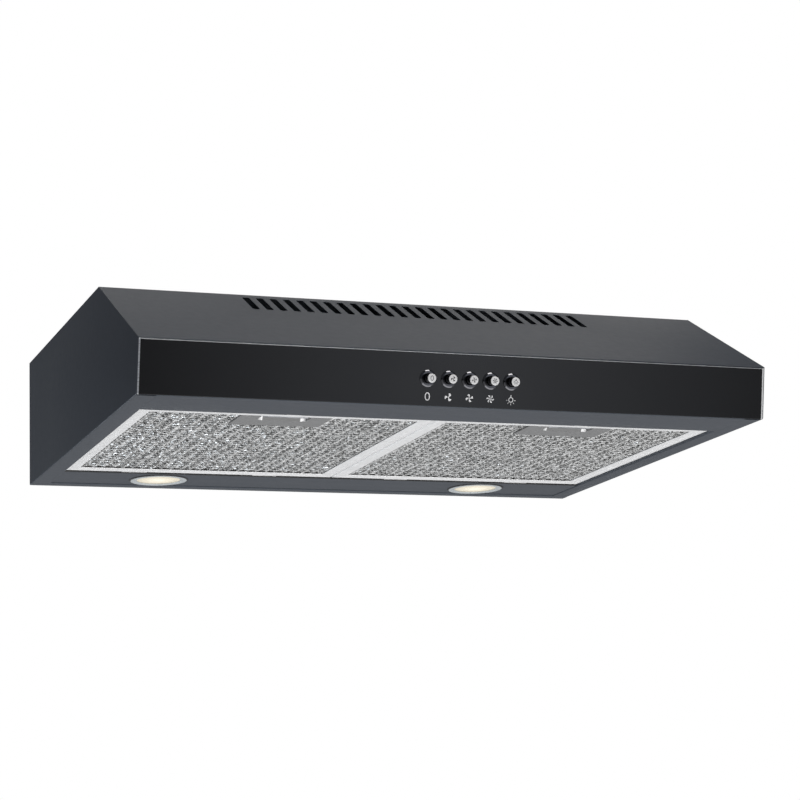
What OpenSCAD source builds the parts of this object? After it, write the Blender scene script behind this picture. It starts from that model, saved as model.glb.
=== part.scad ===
// Under cabinet range hood with two aluminium grease filters, two blowers, five push buttons and two lamps.
// The origin is the middle of the top face's rear edge: +X to the right, +Y into the wall, +Z up.
// Everything below the top face has a negative height.

/* [Canopy] */
// Width of the hood
body_w = 700; // [690:5:760]
// Depth from the wall to the upper edge of the glass
body_d = 540; // [536:2:560]
// Height from the bottom rim to the top face
body_h = 150; // [148:2:180]
// Depth of the flat top, behind the slope
top_d = 372; // [366:2:380]
// Height of the inclined front face
front_h = 56; // [54:1:60]
// How far the bottom of the front face stands back from its top
front_rake = 11; // [8:1:14]
// Thickness of the steel sheet
sheet = 0.8; // [0.6:0.1:1]

/* [Vent slots] */
// Number of slots in the slope
slot_count = 26; // [10:2:26]
// Distance from one slot to the next
slot_pitch = 15.3; // [14:0.1:15.3]
// Width of a slot
slot_w = 7.8; // [5:0.2:8]
// Length of a slot down the slope
slot_len = 48.5; // [30:0.5:48.5]
// Distance from the fold at the top to the slots
slot_from_fold = 11; // [8:0.5:14]

/* [Glass and buttons] */
// Thickness of the front glass
glass_t = 4; // [3:0.5:4]
// Width of the trim at each end of the glass
end_trim_w = 1.8; // [1.5:0.1:3]
// Distance from one push button to the next
button_pitch = 23.4; // [22:0.2:24]
// Middle of the row of buttons
button_mid_x = 3.6; // [-20:0.2:20]
// Height of the buttons up the front face
button_up = 28.6; // [27:0.2:30]
// Radius of a button cap
button_r = 4.7; // [4:0.1:4.7]
// How far a button stands out from the glass
button_out = 12.5; // [8:0.5:14]
// Travel of a button
button_travel = 4; // [2:0.5:4]

/* [Filters] */
// Half the width of the filter opening
open_x = 328; // [325:1:330]
// Distance from the wall to the front of the filter opening
open_front = 457; // [455:1:459]
// Distance from the wall to the rear of the filter opening
open_rear = 89; // [88:1:90]
// Width of a filter's side and rear rails, seen from below
filter_rim = 15.5; // [14:0.5:18]
// Width of a filter's front rail, part of which lies over the canopy's rim
front_rim = 23.5; // [20:0.5:26]
// Thickness of a filter
filter_t = 9; // [9:0.5:10]
// Width of the latch plate
latch_w = 100; // [90:2:110]
// Depth of the latch plate
latch_d = 47; // [44:1:50]

/* [Lamps] */
// Distance of each lamp from the middle
lamp_x = 205; // [190:1:220]
// Distance of the lamps from the wall
lamp_y = 52.5; // [52:0.5:53]
// Outer radius of the lamp trim
lamp_r = 35.5; // [33:0.5:35.5]

/* [Outlet and blowers] */
// Outer radius of the duct collar
collar_r = 60; // [58:0.5:60]
// Height of the duct collar above the top face
collar_h = 40; // [30:1:44]
// Distance from the wall to the middle of the collar
collar_y = 140; // [139:0.5:141]
// Distance of each blower from the middle
blower_x = 165; // [164:0.5:167]
// Distance from the wall to the blower shafts
blower_y = 215; // [214:0.5:216]
// Outer radius of an impeller
impeller_r = 75; // [70:1:76]
// Number of blades on an impeller
blade_count = 36; // [24:2:36]

/* [Fixing holes] */
// Sideways distance between the cabinet screws
cabinet_dx = 500; // [480:10:520]
// Front to rear distance between the cabinet screws
cabinet_dy = 260; // [250:5:262]
// Distance from the wall to the middle of the cabinet screws
cabinet_y = 185; // [180:1:186]
// Sideways distance between the wall screws
wall_dx = 480; // [460:10:500]

/* [Hidden] */
$fn = 96;

eps = 0.01;
big = 2000;

// Canopy
half_w = body_w / 2;
in_x = half_w - sheet;
rim_z = -body_h;
front_tilt = atan(front_rake / front_h);
face_h = norm([front_rake, front_h]);
slope_drop = body_h - front_h;
slope_run = body_d - top_d;
slope_angle = atan(slope_drop / slope_run);
rim_front = body_d - front_rake;
lip_h = 12;
rear_flange = 16;
rear_lip_h = 8;
top_flange = 15;
cabinet_hole_r = 2.75;
wall_hole_r = 2.5;
wall_hole_z = rim_z + 34;
keyhole_z = -38;
keyhole_r = 5;
keyhole_slot_w = 5;
keyhole_slot_h = 9;
collar_gap = 1.5;

// Lamp panel, which is set up behind the rim
panel_up = 1.3;
panel_z = rim_z + panel_up;
tongue_w = 30;
tongue_dx = 80;
tongue_slot = [tongue_w + 3, 3, 8.6];
tongue_slot_z = rim_z + 2.6;

// Lamps
lamp_bore_r = 27.6;
lamp_barrel_r = 30;
lamp_flange_t = 1.2;
lens_r = 27.4;
lens_view_r = 26;
lens_up = 0.2;
lens_t = 2.2;
housing_h = 22;
fin_z = 6;

// Glass
trim_t = 0.8;
glass_top = face_h - 2;
glass_bottom = 0.3;
glass_x = in_x - end_trim_w;

// Buttons, along the front face's own axes
bezel_r = 9;
bezel_out = 1.6;
bezel_barrel_r = 7.2;
bezel_bore_r = 5.1;
bezel_in = 6.6;
cap_in = 7;
stem_w = 5;
stem_in = 16;
switch_in = 12;
switch_d = 28;
switch_h = 26;
switch_pocket_d = stem_in - switch_in + button_travel + 4;
switch_side = 18;
bracket_side = 14;
bracket_foot = 15;
switch_left = button_mid_x - 2 * button_pitch - switch_side;
switch_w = 4 * button_pitch + 2 * switch_side;

// Filters
filter_gap = 0.6;
filter_up = 3;
filter_z = rim_z + filter_up;
filter_w = open_x - 2 * filter_gap + 0.2;
filter_front = open_front - filter_gap;
filter_back = open_rear + 2;
filter_x = filter_gap + filter_w / 2;
fold_t = 1.2;
fold_in = 4;
mesh_gap = 0.1;
layers = 3;
layer_step = 2.1;
ridge_pitch = 10;
ridge_h = 1.6;
foil_t = 0.35;
tongue_t = 1.2;
tongue_len = 7;
pull_w = 55;
pull_d = 20;
pull_h = 6.4;
latch_t = 1;
bolt_w = 14;
bolt_z = filter_z + 2.8;
bolt_t = 2.6;
bolt_out = 2.2;
notch_d = 2.6;
tab_t = 4;
tab_w = pull_w - 5;
tab_up = 0.6;
spring_r = 2;
spring_x = 14;

// Blowers
scroll_top = -8;
scroll_bottom = -92;
plate_t = 1.2;
band_t = 1;
spiral_r0 = 82;
spiral_r1 = 118;
spiral_a0 = 50;
spiral_steps = 40;
throat_low = spiral_r0 * sin(spiral_a0);
plate_rim = 3;
throat_x = 70;
impeller_bottom = -85;
impeller_top = -23;
blade_in_r = 64;
ring_t = 2;
web_z = -62;
hub_r = 12;
hub_h = 18;
shaft_r = 4;
shaft_gap = 0.05;
motor_r = 38;
motor_h = 40;
inlet_r = 60;

// Outlet box and vent duct
box_x = throat_x;
box_rear = 75;
box_front = 296;
box_top = -3;
box_t = 1;
flap_y = -298;
flap_z = -9;
flap_half_w = 66;
flap_h = 76;
flap_t = 1;
flap_pin_r = 2;
flap_pin_gap = 0.06;
ear = 7.4;
lever_w = 4;
lever_tip = 118;
duct_x = 205;
neck_rear = 302;
neck_lap = 5;
duct_rear = 320;
duct_front = 432;
lever_slot_front = 376;

// Collar and its dampers
collar_t = 3;
collar_flange_r = 74;
collar_flange_t = 2;
damper_z = 6;
damper_pin_y = 3.5;
damper_pin_r = 1.5;
damper_pin_gap = 0.05;
damper_r = 56;
damper_t = 1.5;
boss_len = 6;

// Electrical parts
driver_box = [34, 120, 24];
driver_at = [-335, -200, -sheet - 24];
terminal_size = [42, 60, 36];
terminal_at = [296, -76, -sheet - 36];
cable_x = 317;
cable_z = -20;
cable_r = 4.2;
grommet_r = 8;
capacitor_at = [-320, -262];
capacitor_r = 13;
capacitor_h = 46;
main_y = -45;
main_z = -11;

painted = [0.20, 0.21, 0.25];
alu = [0.80, 0.81, 0.82];
zinc = [0.62, 0.64, 0.66];
black_plastic = [0.08, 0.08, 0.09];
chrome = [0.85, 0.86, 0.88];

// Extrudes a shape drawn in Y and Z from x, over the width w
module across(x, w) {
  translate([x, 0, 0]) rotate([90, 0, 90]) linear_extrude(w) children();
}

// The front face's own axes: X to the right, Y inwards from the glass, Z up the face
module on_front() {
  translate([0, -rim_front, rim_z]) rotate([front_tilt, 0, 0]) children();
}

// The slope's own axes: -Y down the slope from the fold, Z out of the sheet
module on_slope() {
  translate([0, -top_d, 0]) rotate([slope_angle, 0, 0]) children();
}

// A cylinder along the front face's inward normal
module front_rod(r, from, to) {
  translate([0, from, 0]) rotate([-90, 0, 0]) cylinder(r = r, h = to - from);
}

// A cylinder along X
module x_rod(r, from, to) {
  translate([from, 0, 0]) rotate([0, 90, 0]) cylinder(r = r, h = to - from);
}

// The same children at each button
module at_buttons() {
  for (i = [-2:2])
    translate([button_mid_x + i * button_pitch, 0, button_up]) children();
}

// Outline of the hood seen from the side, up to the front of the glass
module side_outline() {
  polygon([
    [0, rim_z],
    [0, 0],
    [-top_d, 0],
    [-body_d, rim_z + front_h],
    [-rim_front, rim_z]
  ]);
}

// Outline of everything behind the glass, at the given depth from its face
module behind_glass(depth) {
  intersection() {
    children();
    translate([-rim_front, rim_z]) rotate(front_tilt) translate([depth, -big]) square(2 * big);
  }
}

// The inside of the top and the slope, t below the outer skin
module under_skin(t) {
  intersection() {
    translate([-big, -big - t]) square([2 * big, big]);
    translate([-top_d, 0]) rotate(slope_angle) translate([-big, -big - t]) square([2 * big, big]);
  }
}

module canopy_sheet() {
  color(painted)
  difference() {
    across(-in_x, 2 * in_x)
      difference() {
        intersection() {
          side_outline();
          translate([-big, rim_z + front_h - sheet]) square([2 * big, big]);
        }
        under_skin(sheet);
      }
    for (i = [0:slot_count - 1])
      on_slope()
        translate([(i - (slot_count - 1) / 2) * slot_pitch - slot_w / 2, -slot_from_fold - slot_len, -5])
          cube([slot_w, slot_len, 10]);
    translate([0, -collar_y, -5]) cylinder(r = collar_r + collar_gap, h = 10);
    for (sx = [-1, 1], sy = [-1, 1])
      translate([sx * cabinet_dx / 2, -cabinet_y + sy * cabinet_dy / 2, -5])
        cylinder(r = cabinet_hole_r, h = 10);
  }
}

module keyhole() {
  rotate([90, 0, 0]) translate([0, 0, -5]) {
    cylinder(r = keyhole_r, h = 10);
    translate([-keyhole_slot_w / 2, 0, 0]) cube([keyhole_slot_w, keyhole_slot_h, 10]);
    translate([0, keyhole_slot_h, 0]) cylinder(r = keyhole_slot_w / 2, h = 10);
  }
}

module rear_panel() {
  color(painted)
  difference() {
    across(-in_x, 2 * in_x) {
      translate([-sheet, rim_z]) square([sheet, body_h - sheet]);
      translate([-rear_flange, rim_z]) square([rear_flange, sheet]);
      translate([-rear_flange, rim_z]) square([sheet, rear_lip_h]);
      translate([-top_flange, -2 * sheet]) square([top_flange, sheet]);
    }
    for (s = [-1, 1]) {
      translate([s * wall_dx / 2, 0, keyhole_z]) keyhole();
      translate([s * wall_dx / 2, 5, wall_hole_z]) rotate([90, 0, 0]) cylinder(r = wall_hole_r, h = 10);
    }
    translate([cable_x, 5, cable_z]) rotate([90, 0, 0]) cylinder(r = grommet_r, h = 10);
  }
}

// The right side panel: the wall, its bottom flange and the lip at the filters
module side_panel() {
  color(painted) {
    across(in_x, sheet) side_outline();
    translate([open_x, -open_front, rim_z]) cube([in_x - open_x, open_front - rear_flange, sheet]);
    translate([open_x, -open_front, rim_z]) cube([sheet, open_front - rear_flange, lip_h]);
  }
}

module front_rail() {
  color(painted)
  difference() {
    across(-in_x, 2 * in_x) {
      intersection() {
        behind_glass(glass_t) side_outline();
        under_skin(sheet + 0.2);
        translate([-rim_front, rim_z]) rotate(front_tilt) square([glass_t + sheet, big]);
      }
      behind_glass(glass_t)
        translate([-body_d, rim_z]) square([body_d - open_front, sheet]);
      translate([-open_front - sheet, rim_z]) square([sheet, lip_h]);
    }
    on_front() at_buttons() front_rod(bezel_barrel_r + 0.2, 0, glass_t + 2);
    for (s = [-1, 1])
      translate([s * filter_x - bolt_w / 2 - 1, -open_front - notch_d, rim_z - 1])
        cube([bolt_w + 2, notch_d + 1, bolt_z + bolt_t + 0.6 - rim_z + 1]);
  }
}

module lamp_panel() {
  color(painted)
  difference() {
    across(-open_x, 2 * open_x) {
      translate([-open_rear, panel_z]) square([open_rear - rear_flange, sheet]);
      translate([-open_rear, panel_z]) square([sheet, lip_h]);
      translate([-rear_flange - sheet, panel_z]) square([sheet, lip_h]);
    }
    for (s = [-1, 1]) {
      translate([s * lamp_x, -lamp_y, panel_z - 5]) cylinder(r = lamp_barrel_r + 0.3, h = 10);
      for (t = [-1, 1])
        translate([s * filter_x + t * tongue_dx - tongue_slot[0] / 2, -open_rear - 1, tongue_slot_z])
          cube(tongue_slot);
    }
  }
}

module front_glass() {
  color([0.05, 0.05, 0.06])
  on_front()
    difference() {
      translate([-glass_x, 0, glass_bottom]) cube([2 * glass_x, glass_t, glass_top - glass_bottom]);
      at_buttons() front_rod(bezel_barrel_r + 0.2, -1, glass_t + 1);
    }
}

module top_trim() {
  color(alu)
  on_front()
    translate([-glass_x, 0, glass_top]) cube([2 * glass_x, glass_t, trim_t]);
}

module end_trim() {
  color(alu)
  on_front()
    translate([glass_x, 0, glass_bottom])
      cube([end_trim_w, glass_t, glass_top + trim_t - glass_bottom]);
}

module button_bezels() {
  color(chrome)
  on_front() at_buttons()
    difference() {
      union() {
        front_rod(bezel_r, -bezel_out, 0);
        front_rod(bezel_barrel_r, 0, bezel_in);
      }
      front_rod(bezel_bore_r, -bezel_out - 1, bezel_in + 1);
    }
}

// Button i of the row, from -2 on the left to 2 on the right
module button(i) {
  color(chrome)
  on_front()
    translate([button_mid_x + i * button_pitch, 0, button_up]) {
      front_rod(button_r, -button_out, cap_in);
      translate([-stem_w / 2, cap_in, -stem_w / 2]) cube([stem_w, stem_in - cap_in, stem_w]);
    }
}

module switch_block() {
  color(black_plastic)
  on_front() {
    difference() {
      translate([switch_left, switch_in, button_up - switch_h / 2]) cube([switch_w, switch_d, switch_h]);
      at_buttons()
        translate([-stem_w / 2 - 0.5, switch_in - 1, -stem_w / 2 - 0.5])
          cube([stem_w + 1, switch_pocket_d + 1, stem_w + 1]);
    }
  }
}

module switch_bracket() {
  bracket_left = switch_left - bracket_side;
  bracket_w = switch_w + 2 * bracket_side;
  low = button_up - switch_h / 2;
  leaf = glass_t + sheet;
  color(zinc)
  on_front() {
    translate([bracket_left, switch_in + switch_d, low]) cube([bracket_w, box_t, switch_h]);
    for (x = [bracket_left, bracket_left + bracket_w - box_t])
      translate([x, leaf, low]) cube([box_t, switch_in + switch_d - leaf, switch_h]);
    for (x = [bracket_left - bracket_foot, bracket_left + bracket_w - box_t])
      translate([x, leaf, low]) cube([bracket_foot + box_t, box_t, switch_h]);
  }
}

// A lamp's own axis, from the panel's underside: s is -1 for the left lamp and 1 for the right one
module at_lamp(s) {
  translate([s * lamp_x, -lamp_y, panel_z]) children();
}

module lamp_trim() {
  color(chrome)
  rotate_extrude()
    polygon([
      [lens_view_r, -lamp_flange_t],
      [lamp_r - 1, -lamp_flange_t],
      [lamp_r, 0],
      [lamp_barrel_r, 0],
      [lamp_barrel_r, 6],
      [lamp_bore_r, 6],
      [lamp_bore_r, 0],
      [lens_view_r, 0]
    ]);
}

module lamp_lens() {
  color([1, 0.93, 0.78])
  translate([0, 0, lens_up]) cylinder(r = lens_r, h = lens_t);
}

module lamp_housing() {
  color(alu)
  translate([0, 0, sheet])
  difference() {
    union() {
      cylinder(r = lamp_barrel_r + 4, h = 2);
      cylinder(r = lamp_barrel_r + 2, h = fin_z);
      translate([0, 0, fin_z])
        linear_extrude(housing_h - fin_z) {
          circle(r = lamp_barrel_r + 2);
          for (a = [10:20:350])
            rotate(a) translate([lamp_barrel_r + 1, -0.8]) square([4, 1.6]);
        }
    }
    translate([0, 0, -1]) cylinder(r = lamp_barrel_r + 0.4, h = housing_h - 2);
  }
}

module led_driver() {
  color(black_plastic)
  translate(driver_at) cube(driver_box);
}

// One filter's frame: a folded channel round the mesh pack, with two tongues at the rear
module filter_frame() {
  x0 = -filter_w / 2;
  len = filter_front - filter_back;
  color(alu)
  translate([filter_x, 0, filter_z]) {
    difference() {
      translate([x0, -filter_front, 0]) cube([filter_w, len, filter_t]);
      translate([x0 + filter_rim, -filter_front + front_rim, -1])
        cube([filter_w - 2 * filter_rim, len - front_rim - filter_rim, filter_t + 2]);
      translate([x0 + fold_in, -filter_front + fold_in, fold_t])
        cube([filter_w - 2 * fold_in, len - 2 * fold_in, filter_t - 2 * fold_t]);
      translate([-bolt_w / 2 - 0.6, -filter_front - 1, bolt_z - filter_z - 0.6])
        cube([bolt_w + 1.2, fold_in + 2, bolt_t + 1.2]);
    }
    for (s = [-1, 1])
      translate([s * tongue_dx - tongue_w / 2, -filter_back - 1, 0])
        cube([tongue_w, tongue_len + 1, tongue_t]);
  }
}

// One corrugated sheet of expanded aluminium, seen along its ridges and centred on X
module corrugated(w) {
  ridges = floor(w / ridge_pitch);
  start = -ridges * ridge_pitch / 2;
  low = [for (i = [0:2 * ridges]) [start + i * ridge_pitch / 2, (i % 2) * ridge_h]];
  high = [for (i = [2 * ridges:-1:0]) [start + i * ridge_pitch / 2, (i % 2) * ridge_h + foil_t]];
  polygon(concat(low, high));
}

// The pack of expanded aluminium layers, notched round the latch
module filter_mesh() {
  len = filter_front - filter_back - 2 * fold_in - 2 * mesh_gap;
  color([0.66, 0.66, 0.67])
  translate([filter_x, 0, filter_z + fold_t + mesh_gap])
    difference() {
      for (i = [0:layers - 1])
        translate([0, -filter_back - fold_in - mesh_gap, i * layer_step])
          rotate([90, 0, 0]) linear_extrude(len) corrugated(filter_w - 2 * fold_in - 2 * mesh_gap);
      translate([-latch_w / 2, -filter_front, -1]) cube([latch_w, front_rim + latch_d, filter_t]);
    }
}

// The plate beside the front of the frame, with the pocket for the finger pull
module latch_plate() {
  rear_y = -filter_front + front_rim;
  color([0.5, 0.5, 0.5])
  translate([filter_x, rear_y, filter_z])
    difference() {
      union() {
        translate([-latch_w / 2, 0, 0.2]) cube([latch_w, latch_d, latch_t]);
        translate([-pull_w / 2 - latch_t, 0, 0.2]) cube([pull_w + 2 * latch_t, pull_d + latch_t, pull_h]);
        for (s = [-1, 1])
          translate([s * (latch_w - 4) / 2 - 1, 0, 0.2]) cube([2, latch_d, pull_h]);
      }
      translate([-pull_w / 2, -1, -1]) cube([pull_w, pull_d + 1, pull_h + 0.2]);
    }
}

module latch_slide() {
  front_y = -filter_front + front_rim + 1.9;
  color(zinc)
  translate([filter_x, 0, 0]) {
    translate([-tab_w / 2, front_y, filter_z + tab_up])
      cube([tab_w, tab_t, bolt_z + bolt_t - filter_z - tab_up]);
    translate([-bolt_w / 2, -filter_front - bolt_out, bolt_z])
      cube([bolt_w, filter_front + bolt_out + front_y + eps, bolt_t]);
  }
}

// The pull spring that draws the bolt forwards, as the tube that its coils fill
module latch_spring() {
  from = -filter_front + fold_in + 0.1;
  color(zinc)
  translate([filter_x + spring_x, from, filter_z + fold_t + spring_r + 0.2])
    rotate([-90, 0, 0])
      difference() {
        cylinder(r = spring_r, h = front_rim - fold_in + 1.6);
        translate([0, 0, -1]) cylinder(r = spring_r - 0.8, h = front_rim);
      }
}

// Radius of the left blower's casing at angle a, growing clockwise from the cut-off
function spiral_r(a) = spiral_r0 + (spiral_r1 - spiral_r0) * (spiral_a0 - a) / (spiral_a0 + 270);

// Outline of the left blower's casing, widened by w, with its throat running to the outlet box
module scroll_outline(w) {
  points = [
    for (i = [0:spiral_steps])
      let (a = spiral_a0 - i * (spiral_a0 + 270) / spiral_steps)
        (spiral_r(a) + w) * [cos(a), sin(a)]
  ];
  end_x = blower_x - throat_x;
  nose = w < 0 ? [[spiral_r0 * cos(spiral_a0) - 1.7, throat_low - w]] : [];
  polygon(concat(points, [[end_x, spiral_r1 + w], [end_x, throat_low - w]], nose));
}

module at_blower() {
  translate([-blower_x, -blower_y, 0]) children();
}

module scroll_band() {
  color(zinc)
  at_blower()
    translate([0, 0, scroll_bottom + plate_t])
      linear_extrude(scroll_top - scroll_bottom - 2 * plate_t)
        difference() {
          scroll_outline(0);
          scroll_outline(-band_t);
          translate([blower_x - throat_x - 5, throat_low + band_t])
            square([10, spiral_r1 - throat_low - 2 * band_t]);
        }
}

module inlet_plate() {
  color(zinc)
  at_blower()
    difference() {
      translate([0, 0, scroll_bottom]) linear_extrude(plate_t) scroll_outline(plate_rim);
      translate([0, 0, scroll_bottom - 5]) cylinder(r = inlet_r, h = 10);
    }
}

module motor_plate() {
  color(zinc)
  at_blower()
    difference() {
      translate([0, 0, scroll_top - plate_t]) linear_extrude(plate_t) scroll_outline(plate_rim);
      for (a = [45:90:315])
        rotate(a) translate([motor_r + 8, 0, scroll_top - 5]) cylinder(r = 2.2, h = 10);
    }
}

module motor() {
  can_top = scroll_top - plate_t;
  color([0.45, 0.46, 0.48])
  at_blower() {
    translate([0, 0, can_top - 3]) cylinder(r = motor_r + 12, h = 3);
    translate([0, 0, can_top - motor_h]) cylinder(r = motor_r, h = motor_h);
    translate([0, 0, can_top - motor_h - 5]) cylinder(r = 12, h = 6);
    translate([0, 0, web_z - hub_h + 2]) cylinder(r = shaft_r, h = can_top - motor_h - web_z + hub_h - 2);
  }
}

// One curved blade, from the inner to the outer radius
module blade(h) {
  steps = 4;
  curve = 9;
  outer = [
    for (i = [0:steps])
      let (r = blade_in_r + (impeller_r - 1 - blade_in_r) * i / steps, a = curve * pow(i / steps, 2))
        r * [cos(a), sin(a)]
  ];
  inner = [
    for (i = [steps:-1:0])
      let (r = blade_in_r + (impeller_r - 1 - blade_in_r) * i / steps, a = curve * pow(i / steps, 2) - 1)
        r * [cos(a), sin(a)]
  ];
  linear_extrude(h) polygon(concat(outer, inner));
}

module impeller() {
  height = impeller_top - impeller_bottom;
  color([0.16, 0.17, 0.18])
  at_blower() {
    for (z = [impeller_bottom, impeller_top - ring_t])
      translate([0, 0, z])
        difference() {
          cylinder(r = impeller_r, h = ring_t);
          translate([0, 0, -1]) cylinder(r = blade_in_r - 1, h = ring_t + 2);
        }
    for (i = [0:blade_count - 1])
      rotate(i * 360 / blade_count) translate([0, 0, impeller_bottom + 1]) blade(height - 2);
    difference() {
      union() {
        translate([0, 0, web_z]) cylinder(r = blade_in_r + 1.5, h = ring_t);
        translate([0, 0, web_z - hub_h + 4]) cylinder(r = hub_r, h = hub_h);
      }
      translate([0, 0, web_z - hub_h]) cylinder(r = shaft_r + shaft_gap, h = hub_h + 10);
    }
  }
}

module inlet_grille() {
  wire = 2;
  rim_w = 6;
  hub = 14;
  color(black_plastic)
  at_blower()
    translate([0, 0, scroll_bottom - wire])
      linear_extrude(wire) {
        for (r = [hub, hub + 15, hub + 30])
          difference() {
            circle(r = r);
            circle(r = r - wire);
          }
        difference() {
          circle(r = inlet_r + rim_w - wire);
          circle(r = inlet_r - wire);
        }
        for (a = [30:60:330])
          rotate(a) translate([hub - wire / 2, -wire / 2]) square([inlet_r - hub, wire]);
      }
}

module outlet_box() {
  inner = box_front - box_rear;
  low = throat_low + band_t;
  color(zinc)
  difference() {
    translate([-box_x, -box_front, scroll_bottom]) cube([2 * box_x, inner, box_top - scroll_bottom]);
    translate([-box_x + box_t, -box_front - 1, scroll_bottom + box_t])
      cube([2 * (box_x - box_t), inner + 1 - box_t, big]);
    translate([-box_x - 1, -blower_y + low, scroll_bottom + plate_t])
      cube([2 * box_x + 2, spiral_r1 - band_t - low, scroll_top - scroll_bottom - 2 * plate_t]);
  }
  // Two ears that carry the flap's pin
  color(zinc)
  for (s = [-1, 1])
    translate([s * (box_x - box_t / 2), flap_y, flap_z])
      difference() {
        translate([-box_t / 2, -ear / 2, -5]) cube([box_t, ear, 5 - flap_z + box_top]);
        x_rod(flap_pin_r + flap_pin_gap, -5, 5);
      }
}

// The inside of the vent duct, or its outside when grow is the thickness of its sheet
module vent_space(grow) {
  inset = box_t - grow;
  floor_z = scroll_bottom + inset;
  // The inside runs past the neck's rear end, which is open
  neck_end = grow > 0 ? neck_rear : neck_rear - neck_lap;
  across(-duct_x + inset, 2 * (duct_x - inset))
    translate([-duct_front + inset, floor_z]) square([duct_front - duct_rear - 2 * inset, big]);
  across(-box_x + inset, 2 * (box_x - inset))
    translate([-duct_rear - neck_lap, floor_z]) square([duct_rear + neck_lap - neck_end, big]);
}

module vent_duct() {
  color(zinc)
  difference() {
    intersection() {
      vent_space(box_t);
      across(-duct_x, 2 * duct_x) under_skin(sheet + 0.3);
    }
    vent_space(0);
    translate([-lever_w / 2 - 1.5, -lever_slot_front, scroll_bottom - 5])
      cube([lever_w + 3, lever_slot_front - neck_rear + neck_lap, 10]);
  }
}

module changeover_flap() {
  color(black_plastic)
  translate([0, flap_y, flap_z]) {
    translate([-flap_half_w, -flap_t / 2, -flap_h]) cube([2 * flap_half_w, flap_t, flap_h]);
    x_rod(flap_pin_r, -box_x - 2, box_x + 2);
    translate([-lever_w / 2, -flap_t / 2, -lever_tip - 1]) cube([lever_w, flap_t, lever_tip - flap_h + 2]);
    translate([-8, -1.5, -lever_tip - 8]) cube([16, 3, 8]);
  }
}

module duct_collar() {
  color(black_plastic)
  translate([0, -collar_y, 0])
    difference() {
      union() {
        translate([0, 0, -sheet - collar_flange_t]) cylinder(r = collar_flange_r, h = collar_flange_t);
        translate([0, 0, -sheet - 1]) cylinder(r = collar_r, h = collar_h + sheet + 1);
      }
      difference() {
        translate([0, 0, -5]) cylinder(r = collar_r - collar_t, h = collar_h + 10);
        for (s = [-1, 1])
          translate([s * (collar_r - collar_t - boss_len / 2), 0, damper_z])
            cube([boss_len, 4 * damper_pin_y, 7], center = true);
      }
      for (t = [-1, 1])
        translate([0, t * damper_pin_y, damper_z])
          x_rod(damper_pin_r + damper_pin_gap, -collar_r + 1, collar_r - 1);
    }
}

// The rear damper: half a disc on its own pin, closed when it lies flat
module damper_flap() {
  pin_half = collar_r - collar_t - 1;
  clear_x = collar_r - collar_t - boss_len - 1.2;
  color([0.30, 0.31, 0.33])
  translate([0, -collar_y, damper_z]) {
    translate([0, damper_pin_y, 0]) x_rod(damper_pin_r, -pin_half, pin_half);
    translate([0, 0, -damper_t / 2])
      linear_extrude(damper_t)
        intersection() {
          circle(r = damper_r);
          union() {
            translate([-clear_x, damper_pin_y]) square([2 * clear_x, big]);
            translate([-big, damper_pin_y * 2 + 2]) square([2 * big, big]);
          }
        }
  }
}

module capacitor() {
  color([0.85, 0.85, 0.83])
  translate([capacitor_at[0], capacitor_at[1], -sheet - capacitor_h]) {
    cylinder(r = capacitor_r, h = capacitor_h);
    translate([0, 0, -3]) cylinder(r = capacitor_r - 3, h = 4);
  }
}

module terminal_box() {
  color([0.82, 0.82, 0.80])
  difference() {
    translate(terminal_at) cube(terminal_size);
    translate(terminal_at + [2, 2, 2]) cube(terminal_size - [4, 4, 4]);
    translate([cable_x, terminal_at[1] + terminal_size[1] + 1, cable_z])
      rotate([90, 0, 0]) cylinder(r = 6, h = 6);
  }
}

module cable_grommet() {
  color(black_plastic)
  translate([cable_x, 0, cable_z]) rotate([90, 0, 0])
    difference() {
      union() {
        cylinder(r = grommet_r - 0.1, h = 10);
        translate([0, 0, sheet]) cylinder(r = grommet_r + 3, h = 2);
      }
      translate([0, 0, -1]) cylinder(r = cable_r, h = 12);
    }
}

// A bundle of wires of radius r along straight runs between the points
module lead(points, r) {
  for (i = [0:len(points) - 2]) {
    run = points[i + 1] - points[i];
    translate(points[i])
      rotate([0, acos(run[2] / norm(run)), atan2(run[1], run[0])])
        cylinder(r = r, h = norm(run), $fn = 24);
    if (i > 0) translate(points[i]) sphere(r = r + 0.3, $fn = 24);
  }
}

module wiring_harness() {
  color([0.25, 0.25, 0.27]) {
    lead([[terminal_at[0], main_y, main_z], [-318, main_y, main_z], [-318, -80, main_z]], 3);
    lead([[320, -76.2, -20], [320, -366, -24], [320, -470, -96], [78, -490, -92], [62, -508, -102]], 3);
    for (s = [-1, 1]) {
      lead([[s * lamp_x, main_y, main_z], [s * lamp_x, main_y, panel_z + sheet + housing_h]], 2);
      lead([[s * 150, main_y, main_z], [s * 150, -80, -4.5], [s * 150, -200, -4.5]], 1.8);
    }
    lead([[-320, -200, -12], [-320, -249, -12]], 2);
  }
}

// Stand-offs that hang the blowers, and the screws of the lamp panel and the switch bracket
module fasteners() {
  color(chrome) {
    for (s = [-1, 1], a = [-130, -40, 140])
      translate([s * (blower_x - 99 * cos(a)), -blower_y + 99 * sin(a) * 0.9, scroll_top])
        cylinder(r = 4, h = -scroll_top - sheet);
    on_front()
      for (x = [switch_left - bracket_side - 8, switch_left + switch_w + bracket_side + 8], z = [-8, 8])
        translate([x, 0, button_up + z])
          front_rod(3.2, glass_t + sheet + box_t, glass_t + sheet + box_t + 2);
    for (s = [-1, 1], y = [-84, -24])
      translate([s * (open_x - 8), y, panel_z + sheet]) cylinder(r = 3.5, h = 2.2);
  }
}

module mirror_x() {
  mirror([1, 0, 0]) children();
}

// Mirrors a rear part of the collar to its front
module mirror_collar() {
  translate([0, -2 * collar_y, 0]) mirror([0, 1, 0]) children();
}

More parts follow.
